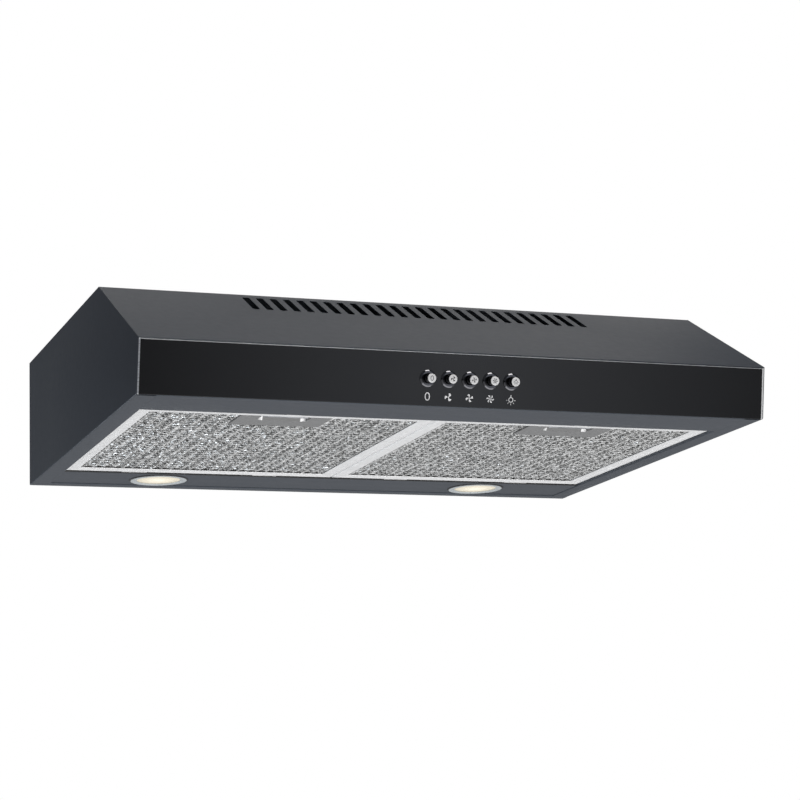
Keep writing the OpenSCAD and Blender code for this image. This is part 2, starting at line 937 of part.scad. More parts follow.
canopy_sheet();
rear_panel();
mirror_x() side_panel();  // side_panel_left
side_panel();  // side_panel_right
front_rail();
lamp_panel();
front_glass();
top_trim();
mirror_x() end_trim();  // end_trim_left
end_trim();  // end_trim_right
button_bezels();
switch_block();
switch_bracket();
button(-2);  // button_off
button(-1);  // button_speed_1
button(0);  // button_speed_2
button(1);  // button_speed_3
button(2);  // button_light
at_lamp(-1) lamp_trim();  // lamp_trim_left
at_lamp(1) lamp_trim();  // lamp_trim_right
at_lamp(-1) lamp_lens();  // lamp_lens_left
at_lamp(1) lamp_lens();  // lamp_lens_right
at_lamp(-1) lamp_housing();  // lamp_housing_left
at_lamp(1) lamp_housing();  // lamp_housing_right
led_driver();
mirror_x() filter_frame();  // filter_frame_left
mirror_x() filter_mesh();  // filter_mesh_left
mirror_x() latch_plate();  // latch_plate_left
mirror_x() latch_slide();  // latch_slide_left
mirror_x() latch_spring();  // latch_spring_left
filter_frame();  // filter_frame_right
filter_mesh();  // filter_mesh_right
latch_plate();  // latch_plate_right
latch_slide();  // latch_slide_right
latch_spring();  // latch_spring_right
scroll_band();  // scroll_band_left
inlet_plate();  // inlet_plate_left
motor_plate();  // motor_plate_left
motor();  // motor_left
impeller();  // impeller_left
inlet_grille();  // inlet_grille_left
mirror_x() scroll_band();  // scroll_band_right
mirror_x() inlet_plate();  // inlet_plate_right
mirror_x() motor_plate();  // motor_plate_right
mirror_x() motor();  // motor_right
mirror_x() impeller();  // impeller_right
mirror_x() inlet_grille();  // inlet_grille_right
outlet_box();
vent_duct();
changeover_flap();
duct_collar();
mirror_collar() damper_flap();  // damper_flap_front
damper_flap();  // damper_flap_rear
capacitor();
terminal_box();
cable_grommet();
wiring_harness();
fasteners();
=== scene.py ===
"""The looks of an under cabinet range hood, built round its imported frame. Sizes are in metres."""
import math
import random

import bmesh
import bpy
from mathutils import Matrix, Vector


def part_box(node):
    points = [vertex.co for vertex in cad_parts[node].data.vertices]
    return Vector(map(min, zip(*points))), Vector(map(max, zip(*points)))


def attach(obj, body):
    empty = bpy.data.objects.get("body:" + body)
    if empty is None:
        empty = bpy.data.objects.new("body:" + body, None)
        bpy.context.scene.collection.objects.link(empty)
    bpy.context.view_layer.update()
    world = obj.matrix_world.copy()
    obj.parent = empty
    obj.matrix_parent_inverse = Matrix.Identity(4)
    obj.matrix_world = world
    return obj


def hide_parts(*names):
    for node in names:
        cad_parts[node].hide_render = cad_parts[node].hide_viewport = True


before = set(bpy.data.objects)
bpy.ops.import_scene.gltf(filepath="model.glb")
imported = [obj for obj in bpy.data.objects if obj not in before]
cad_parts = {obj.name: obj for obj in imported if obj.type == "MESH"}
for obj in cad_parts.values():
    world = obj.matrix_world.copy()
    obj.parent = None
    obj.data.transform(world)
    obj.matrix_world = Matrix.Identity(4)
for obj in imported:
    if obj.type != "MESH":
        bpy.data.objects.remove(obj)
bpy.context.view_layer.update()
scene = bpy.context.scene
mm = 0.001


def in_mm(*sizes):
    """Sizes in millimetres, as metres."""
    return [size * mm for size in sizes]


def low(node):
    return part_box(node)[0]


def high(node):
    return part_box(node)[1]


# ---- Sizes

# Canopy
sheet = 0.8 * mm
fold_r = 1.6 * mm
half_w = high("side_panel_right").x
in_x = half_w - sheet
rim_z = low("side_panel_right").z
body_d = -low("canopy_sheet").y
nose_z = low("canopy_sheet").z + sheet
fold_y = min(v.co.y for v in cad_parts["canopy_sheet"].data.vertices if v.co.z > -1e-6)
front_rake = 11 * mm
front_h = nose_z - rim_z
front_tilt = math.atan(front_rake / front_h)
face_h = math.hypot(front_rake, front_h)
slope_angle = math.atan(nose_z / (fold_y + body_d))
open_x = high("lamp_panel").x
open_rear = -low("lamp_panel").y
open_front = -high("front_rail").y
panel_z = low("lamp_panel").z
lip_h = 12 * mm
rear_flange = 16 * mm

# Buttons, along the front face
button_pitch, button_mid_x, button_up = in_mm(23.4, 3.6, 28.6)
button_xs = [button_mid_x + i * button_pitch for i in range(-2, 3)]
button_hole_r = 7.4 * mm

# The right filter, whose tongues start at filter_back_y, and the right lamp
filter_low, filter_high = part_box("filter_frame_right")
filter_x = (filter_low.x + filter_high.x) / 2
filter_w = filter_high.x - filter_low.x
filter_z = filter_low.z
filter_front_y, filter_back_y = filter_low.y, filter_high.y - 7 * mm
filter_rim, front_rim, filter_t = in_mm(15.5, 23.5, 9)
tongue_x = 80 * mm
lamp_centre = (low("lamp_trim_right") + high("lamp_trim_right")) / 2
SIDES = ((1, "right"), (-1, "left"))

# The front face's own axes: X to the right, Y inwards, Z up the face
FRONT = Matrix.Translation((0, front_rake - body_d, rim_z)) @ Matrix.Rotation(front_tilt, 4, "X")
# The slope's own axes: -Y down the slope from the fold, Z out of the sheet
SLOPE = Matrix.Translation((0, fold_y, 0)) @ Matrix.Rotation(-slope_angle, 4, "X")
# Where the leaf behind the glass meets the canopy's underside
glass_t = 4 * mm
leaf_low = FRONT @ Vector((0, glass_t, 0))
rail_foot = leaf_low.y + (leaf_low.z - rim_z) * math.tan(front_tilt)
# Turns +Z to the way out of the front face
OUTWARD = Matrix.Rotation(math.pi / 2, 4, "X")
# Drawings in (Y, Z) swept along X, and in (X, Z) swept along Y
ALONG_X = Matrix(((0, 0, 1, 0), (1, 0, 0, 0), (0, 1, 0, 0), (0, 0, 0, 1)))
ALONG_Y = Matrix(((1, 0, 0, 0), (0, 0, 1, 0), (0, 1, 0, 0), (0, 0, 0, 1)))


def on_front(x, up):
    """The axes of a spot on the front face, with Z out of it."""
    return FRONT @ Matrix.Translation((x, 0, up)) @ OUTWARD


def at_button(x):
    return on_front(x, button_up)


def at_lamp(s):
    """The axes of the right (1) or left (-1) lamp, at the lamp panel's face."""
    return Matrix.Translation((s * lamp_centre.x, lamp_centre.y, panel_z))


# ---- Mesh tools

def for_each(value, count):
    """value as a list: itself, or the same number count times."""
    return value if isinstance(value, list) else [value] * count


def fillet(points, radius, steps=5, closed=False):
    """The points as 2D vectors, with every corner rounded to its radius."""
    count = len(points)
    radii = for_each(radius, count)
    line = []
    for i, point in enumerate(points):
        corner = Vector(point)
        if radii[i] <= 0 or (not closed and i in (0, count - 1)):
            line.append(corner)
            continue
        back = (Vector(points[i - 1]) - corner).normalized()
        ahead = (Vector(points[(i + 1) % count]) - corner).normalized()
        angle = back.angle(ahead)
        if angle > math.pi - 0.01:
            line.append(corner)
            continue
        centre = corner + (back + ahead).normalized() * radii[i] / math.sin(angle / 2)
        reach = radii[i] / math.tan(angle / 2)
        start = corner + back * reach - centre
        end = corner + ahead * reach - centre
        turn = start.angle(end)
        for k in range(steps + 1):
            share = k / steps
            weights = math.sin((1 - share) * turn), math.sin(share * turn)
            line.append(centre + (start * weights[0] + end * weights[1]) / math.sin(turn))
    return line


def sheet_section(path, radius, thick=sheet):
    """Closed outline of a folded sheet. The path is its outer face, and the sheet lies to the path's left."""
    points = [Vector(p) for p in path]
    ways = [(b - a).normalized() for a, b in zip(points, points[1:])]
    normals = [Vector((-w.y, w.x)) for w in ways]
    radii = for_each(radius, len(points))
    inner = [points[0] + normals[0] * thick]
    inner_radii = [0]
    for i in range(1, len(points) - 1):
        a, b = normals[i - 1], normals[i]
        inner.append(points[i] + (a + b) * thick / (1 + a.dot(b)))
        left_turn = ways[i - 1].cross(ways[i]) > 0
        inner_radii.append(max(radii[i] - thick if left_turn else radii[i] + thick, 0.05 * mm))
    inner.append(points[-1] + normals[-1] * thick)
    inner_radii.append(0)
    return fillet(points, radii) + fillet(inner, inner_radii)[::-1]


def rounded_box(x0, x1, y0, y1, radius, steps=5):
    """Outline of a box with round corners. radius may list one for each, anticlockwise from (x0, y0)."""
    return fillet([(x0, y0), (x1, y0), (x1, y1), (x0, y1)], radius, steps, closed=True)


def circle(radius, count=32, centre=(0, 0)):
    turns = [2 * math.pi * i / count for i in range(count)]
    return [Vector((centre[0] + radius * math.cos(a), centre[1] + radius * math.sin(a))) for a in turns]


def close_up(bm):
    bmesh.ops.remove_doubles(bm, verts=bm.verts, dist=1e-7)
    bmesh.ops.recalc_face_normals(bm, faces=bm.faces)
    return bm


def prism(outline, start, end, place=ALONG_X):
    """A solid with this outline. start and end are numbers, or functions of a point for a mitred end."""
    bm = bmesh.new()
    rings = []
    for stop in (start, end):
        at = stop if callable(stop) else lambda point, stop=stop: stop
        rings.append([bm.verts.new(place @ Vector((p[0], p[1], at(p)))) for p in outline])
    count = len(outline)
    bm.faces.new(rings[0][::-1])
    bm.faces.new(rings[1])
    for i in range(count):
        k = (i + 1) % count
        bm.faces.new((rings[0][i], rings[0][k], rings[1][k], rings[1][i]))
    return close_up(bm)


def block(x0, x1, y0, y1, z0, z1, place=Matrix()):
    return prism([(x0, y0), (x1, y0), (x1, y1), (x0, y1)], z0, z1, place)


def bar(x, half, y0, y1, z0, z1, place=Matrix()):
    """A block centred on x."""
    return block(x - half, x + half, y0, y1, z0, z1, place)


def slab(x0, x1, y0, y1, radius, z0, z1):
    """A block with round upright edges."""
    return prism(rounded_box(x0, x1, y0, y1, radius), z0, z1, Matrix())


def lathe(profile, place=Matrix(), count=64, closed=True):
    """A solid turned from (radius, height) points. A closed profile is a ring's section."""
    bm = bmesh.new()
    rings = []
    for radius, height in profile:
        spots = circle(max(radius, 0), count) if radius > 1e-7 else [Vector((0, 0))]
        rings.append([bm.verts.new(place @ Vector((p.x, p.y, height))) for p in spots])
    pairs = list(zip(rings, rings[1:])) + ([(rings[-1], rings[0])] if closed else [])
    for a, b in pairs:
        for i in range(count):
            k = (i + 1) % count
            corners = [a[i % len(a)], a[k % len(a)], b[k % len(b)], b[i % len(b)]]
            corners = [v for n, v in enumerate(corners) if v not in corners[:n]]
            if len(corners) > 2:
                bm.faces.new(corners)
    return close_up(bm)


def bore(radius, z0, z1, place, count=64):
    """A plain cylinder that cuts a round hole."""
    return lathe([(0, z0), (radius, z0), (radius, z1), (0, z1)], place, count, closed=False)


def joined(parts):
    """One bmesh holding them all."""
    whole = bmesh.new()
    for part in parts:
        mesh = bpy.data.meshes.new("work")
        part.to_mesh(mesh)
        part.free()
        whole.from_mesh(mesh)
        bpy.data.meshes.remove(mesh)
    return whole


def combined(body, tool, operation="DIFFERENCE"):
    """body with tool taken away, added or kept in common. Both are used up."""
    pair = []
    for bm in (body, tool):
        mesh = bpy.data.meshes.new("work")
        bm.to_mesh(mesh)
        bm.free()
        pair.append(bpy.data.objects.new("work", mesh))
        scene.collection.objects.link(pair[-1])
    modifier = pair[0].modifiers.new("work", "BOOLEAN")
    modifier.object = pair[1]
    modifier.operation = operation
    modifier.solver = "EXACT"
    shown = pair[0].evaluated_get(bpy.context.evaluated_depsgraph_get())
    result = bmesh.new()
    result.from_mesh(shown.to_mesh())
    for obj in pair:
        mesh = obj.data
        bpy.data.objects.remove(obj)
        bpy.data.meshes.remove(mesh)
    return result


def soften(bm, width, segments=2, chosen=None):
    """Rounds the sharp edges, or only those that chosen accepts."""
    edges = [
        e for e in bm.edges
        if len(e.link_faces) == 2
        and e.calc_face_angle(0) > math.radians(30)
        and (chosen is None or chosen(e))
    ]
    bmesh.ops.bevel(
        bm, geom=edges, offset=width, offset_type="OFFSET", segments=segments, profile=0.5,
        affect="EDGES", clamp_overlap=True,
    )
    return bm


def mirrored(bm, scale=(-1, 1, 1)):
    """The same solid on the other side of the hood."""
    bmesh.ops.scale(bm, verts=bm.verts, vec=scale)
    bmesh.ops.reverse_faces(bm, faces=bm.faces)
    return bm


def coat(bm, index, chosen):
    """Gives the faces that chosen accepts the material with this index."""
    for face in bm.faces:
        if chosen(face):
            face.material_index = index


def with_extra(body, extra, index=1):
    """The body, and then the extra solids, which take the material with this index."""
    plain_faces = len(body.faces)
    body = joined([body] + extra)
    body.faces.ensure_lookup_table()
    for face in body.faces[plain_faces:]:
        face.material_index = index
    return body


def piece(name, bm, body, materials, replaces=(), angle=35):
    """Makes the object, shades it, and ties it to its CAD body."""
    mesh = bpy.data.meshes.new(name)
    bm.to_mesh(mesh)
    bm.free()
    mesh.shade_smooth()
    mesh.set_sharp_from_angle(angle=math.radians(angle))
    for material in for_each(materials, 1):
        mesh.materials.append(material)
    obj = bpy.data.objects.new(name, mesh)
    scene.collection.objects.link(obj)
    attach(obj, body)
    if replaces:
        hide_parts(replaces)


def pair(title, build, rides, materials, slot, node):
    """The right-hand piece that build makes, and its mirror image on the left."""
    for s, side in SIDES:
        bm = build() if s > 0 else mirrored(build())
        piece(title + side, bm, rides + side if rides.endswith("_") else rides, materials, node + side)


# ---- Materials

def add_node(tree, kind, inputs=(), **settings):
    """A new node with these settings, and its inputs linked or set."""
    made = tree.nodes.new(kind)
    for key, value in settings.items():
        setattr(made, key, value)
    for key, value in dict(inputs).items():
        if isinstance(value, bpy.types.NodeSocket):
            tree.links.new(value, made.inputs[key])
        else:
            made.inputs[key].default_value = value
    return made


class Shader:
    """A material's node tree, with short names for the nodes that the finishes use."""

    def __init__(self, name, colour, roughness, metallic=0.0, **sockets):
        self.material = bpy.data.materials.new(name)
        self.material.use_nodes = True
        self.tree = self.material.node_tree
        self.surface = self.tree.nodes["Principled BSDF"]
        self.set("Base Color", (*colour, 1))
        self.set("Roughness", roughness)
        self.set("Metallic", metallic)
        for key, value in sockets.items():
            self.set(key.replace("_", " "), value)
        self.coordinates = self.tree.nodes.new("ShaderNodeTexCoord").outputs["Object"]

    def set(self, socket, value):
        self.surface.inputs[socket].default_value = value

    def drive(self, socket, output):
        self.tree.links.new(output, self.surface.inputs[socket])

    def node(self, kind, inputs=(), **settings):
        return add_node(self.tree, kind, inputs, **settings)

    def stretched(self, scale):
        """Object coordinates, scaled differently along each axis."""
        inputs = {"Vector": self.coordinates, "Scale": scale}
        return self.node("ShaderNodeMapping", inputs).outputs["Vector"]

    def noise(self, scale, detail=3.0, vector=None):
        vector = vector or self.coordinates
        inputs = {"Vector": vector, "Scale": scale, "Detail": detail, "Roughness": 0.55}
        return self.node("ShaderNodeTexNoise", inputs).outputs["Fac"]

    def cells(self, scale):
        """The outputs of a cell pattern."""
        return self.node("ShaderNodeTexVoronoi", {"Vector": self.coordinates, "Scale": scale}).outputs

    def cell_greys(self, scale):
        """A different grey in every cell."""
        colour = self.cells(scale)["Color"]
        return self.node("ShaderNodeSeparateColor", {"Color": colour}).outputs[0]

    def remap(self, value, a, b, from_a=0.3, from_b=0.7):
        """value, running from from_a to from_b, as a number from a to b."""
        inputs = {"Value": value, "From Min": from_a, "From Max": from_b, "To Min": a, "To Max": b}
        return self.node("ShaderNodeMapRange", inputs).outputs["Result"]

    def mix(self, factor, a, b):
        mixer = self.node("ShaderNodeMix", data_type="RGBA")
        for socket, value in zip([mixer.inputs[0], mixer.inputs[6], mixer.inputs[7]], (factor, a, b)):
            if isinstance(value, bpy.types.NodeSocket):
                self.tree.links.new(value, socket)
            else:
                socket.default_value = value if isinstance(value, float) else (*value, 1)
        return mixer.outputs[2]

    def tint(self, value, a, b):
        """Base colour, from a to b as a noise runs over its middle range."""
        self.drive("Base Color", self.mix(self.remap(value, 0.0, 1.0), a, b))

    def bump(self, height, distance, below=None):
        inputs = {"Height": height, "Distance": distance, "Strength": 1.0}
        if below:
            inputs["Normal"] = below
        return self.node("ShaderNodeBump", inputs).outputs["Normal"]


def powder_coat():
    """Satin dark paint: a fine orange peel, a trace of fleck, and edges a little brighter."""
    s = Shader("dark_powder_coat", (0.022, 0.026, 0.034), 0.42, Specular_IOR_Level=0.55)
    s.set("Specular Tint", (0.8, 0.9, 1.0, 1))
    fleck = s.noise(2600, 2)
    base = s.mix(s.remap(s.noise(14, 3), 0.0, 1.0), (0.0205, 0.0255, 0.0352), (0.0222, 0.0272, 0.037))
    speckled = s.mix(s.remap(fleck, 0.0, 0.4, 0.62, 0.8), base, (0.05, 0.055, 0.065))
    edge = s.remap(s.node("ShaderNodeNewGeometry").outputs["Pointiness"], 0.0, 0.4, 0.5, 0.56)
    s.drive("Base Color", s.mix(edge, speckled, (0.06, 0.065, 0.075)))
    s.drive("Roughness", s.remap(s.noise(120, 3), 0.405, 0.435))
    peel = s.bump(s.noise(420, 2), 0.008 * mm)
    s.drive("Normal", s.bump(s.noise(1900, 3), 0.006 * mm, below=peel))
    return s.material


def black_glass():
    """Black backed glass with the faintest wiping marks."""
    s = Shader("black_glass", (0.008, 0.008, 0.0085), 0.05, IOR=1.5)
    wipes = s.noise(30, 4, s.stretched((0.25, 1, 1)))
    s.drive("Roughness", s.remap(wipes, 0.03, 0.085))
    s.tint(s.noise(14), (0.0075, 0.0075, 0.008), (0.0085, 0.0085, 0.009))
    s.drive("Normal", s.bump(s.noise(22, 2), 0.006 * mm))
    return s.material


def metal(name, colour, roughness, grain, grain_scale):
    """A rolled or brushed metal. grain is how each axis is stretched."""
    s = Shader(name, colour, roughness, 1.0)
    depth, spread = 0.01 * mm, 0.08
    streaks = s.noise(grain_scale, 4, s.stretched(grain))
    darker = [c * 0.86 for c in colour]
    lighter = [min(c * 1.07, 0.97) for c in colour]
    tone = s.mix(s.remap(streaks, 0.0, 1.0), darker, lighter)
    s.drive("Base Color", s.mix(s.remap(s.noise(35, 3), 0.0, 0.35), tone, darker))
    s.drive("Roughness", s.remap(streaks, roughness - spread, roughness + spread))
    s.drive("Normal", s.bump(streaks, depth))
    return s.material


def galvanised():
    """Zinc coated steel with its spangle."""
    s = Shader("galvanised_steel", (0.5, 0.52, 0.54), 0.4, 1.0)
    grey = s.cell_greys(140)
    s.drive("Base Color", s.mix(grey, (0.40, 0.42, 0.44), (0.60, 0.61, 0.63)))
    s.drive("Roughness", s.remap(grey, 0.3, 0.52, 0, 1))
    s.drive("Normal", s.bump(s.noise(600, 3), 0.01 * mm))
    return s.material


def plastic(name, colour, roughness, texture=1500):
    """Moulded plastic with a fine spark texture."""
    s = Shader(name, colour, roughness)
    lighter = [c * 1.25 + 0.004 for c in colour]
    s.tint(s.noise(40, 4), colour, lighter)
    s.drive("Roughness", s.remap(s.noise(90, 3), roughness - 0.06, roughness + 0.06))
    s.drive("Normal", s.bump(s.noise(texture, 2), 0.02 * mm))
    return s.material


def chrome(name, colour, roughness):
    """Plated metal with hairline scratches."""
    s = Shader(name, colour, roughness, 1.0)
    hairs = s.noise(900, 3, s.stretched((1, 0.15, 1)))
    s.drive("Roughness", s.remap(hairs, roughness * 0.7, roughness * 1.5))
    s.tint(s.noise(160), [c * 0.95 for c in colour], colour)
    s.drive("Normal", s.bump(hairs, 0.003 * mm))
    return s.material


def satin_aluminium():
    """Etched, matt aluminium sheet with the faintest rolling lines."""
    s = Shader("filter_aluminium", (0.86, 0.86, 0.86), 0.45, 0.3)
    lines = s.noise(700, 3, s.stretched((1, 0.1, 1)))
    s.tint(lines, (0.83, 0.83, 0.83), (0.88, 0.88, 0.88))
    s.drive("Roughness", s.remap(s.noise(60, 3), 0.4, 0.5))
    s.drive("Normal", s.bump(lines, 0.004 * mm))
    return s.material


def mesh_foil(name, dark, light):
    """Expanded aluminium foil: its strands run from dark to light in patches."""
    s = Shader(name, light, 0.35, 0.42)
    grey = s.cell_greys(360)
    s.drive("Base Color", s.mix(s.remap(grey, 0.0, 1.0, 0.15, 0.85), dark, light))
    s.drive("Roughness", s.remap(grey, 0.5, 0.28, 0, 1))
    s.drive("Normal", s.bump(s.noise(1100, 2), 0.03 * mm))
    return s.material


def diffuser(centre_x):
    """Frosted lamp lens, lit from behind: brightest in its middle, with a fine prismatic texture."""
    s = Shader("lamp_diffuser", (0.56, 0.53, 0.45), 0.45)
    offset = {"Vector": s.coordinates, "Location": (-centre_x, -lamp_centre.y, 0), "Scale": (1, 1, 0)}
    flat = s.node("ShaderNodeMapping", offset).outputs["Vector"]
    reach = s.node("ShaderNodeVectorMath", {0: flat}, operation="LENGTH").outputs["Value"]
    glow = s.remap(reach, 1.0, 0.0, 3 * mm, 25 * mm)
    facets = s.cells(650)["Distance"]
    grain = s.remap(facets, 1.0, 0.8, 0.0, 0.7)
    s.drive("Emission Color", s.mix(glow, (1.0, 0.85, 0.58), (1.0, 0.93, 0.76)))
    dimmed = s.node("ShaderNodeMath", {0: s.remap(glow, 0.26, 0.66, 0, 1), 1: grain}, operation="MULTIPLY")
    s.drive("Emission Strength", dimmed.outputs[0])
    s.drive("Normal", s.bump(facets, 0.15 * mm))
    return s.material


def satin(name, colour, roughness, metallic):
    """A bright metallic paint or anodised finish, with a fine grain."""
    s = Shader(name, colour, roughness, metallic)
    grain = s.noise(900, 3)
    s.tint(grain, [c * 0.94 for c in colour], colour)
    s.drive("Roughness", s.remap(s.noise(80, 3), roughness - 0.04, roughness + 0.04))
    s.drive("Normal", s.bump(grain, 0.005 * mm))
    return s.material


paint = powder_coat()
glass = black_glass()
trim_alu = metal("trim_aluminium", (0.78, 0.79, 0.80), 0.3, (0.06, 1, 1), 900)
# The top trim's aluminium made darker: painted shade for the dark reflections along it
trim_painted_shade = metal("trim_aluminium_painted_shade", (0.5, 0.51, 0.52), 0.26, (0.06, 1, 1), 900)
filter_alu = satin_aluminium()
foil_alu = mesh_foil("mesh_aluminium", (0.22, 0.22, 0.215), (0.98, 0.98, 0.97))
# A darker copy of the mesh foil for one flank of each ridge: painted shade
foil_painted_shade = mesh_foil("mesh_aluminium_painted_shade", (0.185, 0.185, 0.18), (0.93, 0.93, 0.92))
# The inner layers are the same foil made darker: painted shade for the depth of the filter
inner_foil_painted_shade = mesh_foil("inner_mesh_painted_shade", (0.12, 0.12, 0.12), (0.5, 0.5, 0.5))
latch_paint = satin("latch_grey", (0.2, 0.2, 0.2), 0.42, 0.0)
zinc = galvanised()
bright = chrome("bright_chrome", (0.9, 0.9, 0.91), 0.09)
smoked = chrome("smoked_chrome", (0.13, 0.13, 0.14), 0.06)
button_face = satin("satin_silver", (0.93, 0.93, 0.93), 0.4, 0.1)
black = plastic("black_plastic", (0.012, 0.012, 0.013), 0.48)
white = plastic("white_plastic", (0.62, 0.62, 0.6), 0.42)
rotor = plastic("rotor_plastic", (0.03, 0.032, 0.036), 0.4, 700)
lamp_ring = satin("lamp_trim_metal", (0.6, 0.635, 0.645), 0.32, 0.3)
motor_grey = metal("motor_steel", (0.32, 0.33, 0.35), 0.42, (1, 1, 0.2), 320)
wires = plastic("wire_insulation", (0.03, 0.03, 0.034), 0.42, 900)
spring_wire = metal("spring_steel", (0.6, 0.6, 0.62), 0.28, (1, 1, 1), 900)
print_white = plastic("print_white", (0.95, 0.95, 0.95), 0.5, 2400)


# ---- Camera, light and floor

def aim(azimuth, elevation, roll):
    """Rotation of a camera that looks along +Y at azimuth 0, with +X to the right."""
    turns = ((-azimuth, "Z"), (90 + elevation, "X"), (roll, "Z"))
    turn, tilt, lean = (Matrix.Rotation(math.radians(angle), 4, axis) for angle, axis in turns)
    return turn @ tilt @ lean


camera_data = bpy.data.cameras.new("camera")
camera_data.sensor_width = 36
camera_data.lens = 101.87
camera_data.clip_start = 0.05
camera = bpy.data.objects.new("camera", camera_data)
camera.matrix_world = Matrix.Translation((-0.8799, -2.6565, -0.6196)) @ aim(20.778, 11.786, -2.086)
scene.collection.objects.link(camera)
scene.camera = camera
scene.view_settings.view_transform = "Standard"

hood_middle = (0, -0.28, -0.07)


def softbox(name, place, size, power, colour=(1, 1, 1), target=hood_middle):
    """A rectangular soft light at place, turned to target."""
    data = bpy.data.lights.new(name, "AREA")
    data.shape = "RECTANGLE"
    data.size, data.size_y = size
    data.energy = power
    data.color = colour
    light = bpy.data.objects.new(name, data)
    light.location = place
    light.rotation_euler = (Vector(target) - Vector(place)).to_track_quat("-Z", "Y").to_euler()
    scene.collection.objects.link(light)


softbox("key_light", (0.7, -2.2, 2.4), (1.7, 1.2), 46, (1, 0.97, 0.93))
softbox("under_light", (0.2, -0.9, -2.3), (3.4, 3.0), 46)
softbox("rear_light", (1.0, 2.4, 1.5), (2.0, 1.6), 11, (1, 0.96, 0.9))
softbox("back_light", (0.9, 3.2, 0.5), (2.4, 1.4), 32)
softbox("top_light", (-1.0, -0.3, 3.2), (2.0, 2.0), 30)
softbox("rear_low_light", (1.2, 3.0, -1.0), (3.0, 1.4), 1.0)
softbox("side_light", (-1.3, 0.9, -0.8), (0.6, 0.6), 5.6, (0.84, 0.92, 1), target=(-0.35, -0.1, -0.1))

world = bpy.data.worlds.new("world")
scene.world = world
world.use_nodes = True
sky = world.node_tree
sky.nodes.clear()


def world_math(operation, a, b=0.0):
    return add_node(sky, "ShaderNodeMath", {0: a, 1: b}, operation=operation).outputs[0]


def world_fade(value, full, none, peak):
    """peak where value is at full, falling to 0 at none."""
    inputs = {"Value": value, "From Min": full, "From Max": none, "To Min": peak, "To Max": 0}
    return add_node(sky, "ShaderNodeMapRange", inputs).outputs["Result"]


# A dim room with one tall soft panel in front, to the right, which the glass reflects
ambient_level, panel_level = 0.13, 0.66
room_colour, backdrop_colour = (0.93, 0.97, 1.06, 1), (1, 1, 1, 1)
panel_azimuth, panel_reach = math.radians(22.3), math.radians(9)
panel_full_height, panel_top = 0.3, 0.7
generated = add_node(sky, "ShaderNodeTexCoord").outputs["Generated"]
way = add_node(sky, "ShaderNodeSeparateXYZ", {0: generated}).outputs
azimuth = world_math("ARCTAN2", way["X"], world_math("MULTIPLY", way["Y"], -1.0))
off = world_math("ABSOLUTE", world_math("SUBTRACT", azimuth, panel_azimuth))
height = world_math("ABSOLUTE", way["Z"])
panel = world_math(
    "MULTIPLY", world_fade(off, 0.0, panel_reach, panel_level),
    world_fade(height, panel_full_height, panel_top, 1.0))
strength = world_math("ADD", panel, ambient_level)
room = add_node(sky, "ShaderNodeBackground", {"Color": room_colour, "Strength": strength}).outputs[0]
backdrop = add_node(sky, "ShaderNodeBackground", {"Color": backdrop_colour}).outputs[0]
seen = add_node(sky, "ShaderNodeLightPath").outputs["Is Camera Ray"]
chooser = add_node(sky, "ShaderNodeMixShader", {0: seen, 1: room, 2: backdrop})
add_node(sky, "ShaderNodeOutputWorld", {"Surface": chooser.outputs[0]})

floor_z, floor_half, floor_t, floor_glow = -2.9, 12, 0.02, 0.2
floor_bm = block(-floor_half, floor_half, -floor_half, floor_half, floor_z - floor_t, floor_z)
floor_mesh = bpy.data.meshes.new("floor")
floor_bm.to_mesh(floor_mesh)
floor_bm.free()
floor_paint = plastic("pale_floor", (0.8, 0.8, 0.8), 0.7, 60)
floor_shader = floor_paint.node_tree.nodes["Principled BSDF"]
floor_shader.inputs["Emission Color"].default_value = (1, 1, 1, 1)
floor_shader.inputs["Emission Strength"].default_value = floor_glow
floor_mesh.materials.append(floor_paint)
floor = bpy.data.objects.new("floor", floor_mesh)
scene.collection.objects.link(floor)


# ---- Canopy

def canopy_sheet():
    """Flat top and slope in one sheet, with its vent slots, duct hole and cabinet screw holes."""
    slot_count, slot_pitch, slot_w = 26, 15.3 * mm, 7.8 * mm
    slot_len, slot_from_fold, slot_r = in_mm(48.5, 11, 2.6)
    duct_r, screw_r = 61.5 * mm, 2.75 * mm
    screw_x, screw_y, screw_dy = in_mm(250, -185, 130)
    body = prism(sheet_section([(0, 0), (fold_y, 0), (-body_d, nose_z)], 2.4 * mm), -in_x, in_x)
    holes = []
    for i in range(slot_count):
        x = (i - (slot_count - 1) / 2) * slot_pitch
        outline = rounded_box(
            x - slot_w / 2, x + slot_w / 2, -slot_from_fold - slot_len, -slot_from_fold, slot_r, 4)
        holes.append(prism(outline, -5 * mm, 5 * mm, SLOPE))
    duct_y = (high("duct_collar").y + low("duct_collar").y) / 2
    spots = [(0, duct_y, duct_r)]
    spots += [(sx * screw_x, screw_y + sy * screw_dy, screw_r) for sx in (-1, 1) for sy in (-1, 1)]
    holes += [bore(r, -10 * mm, 10 * mm, Matrix.Translation((x, y, 0)), 32) for x, y, r in spots]
    body = soften(combined(body, joined(holes)), 0.18 * mm, 1)
    piece("canopy_shell", body, "canopy", paint, "canopy_sheet")


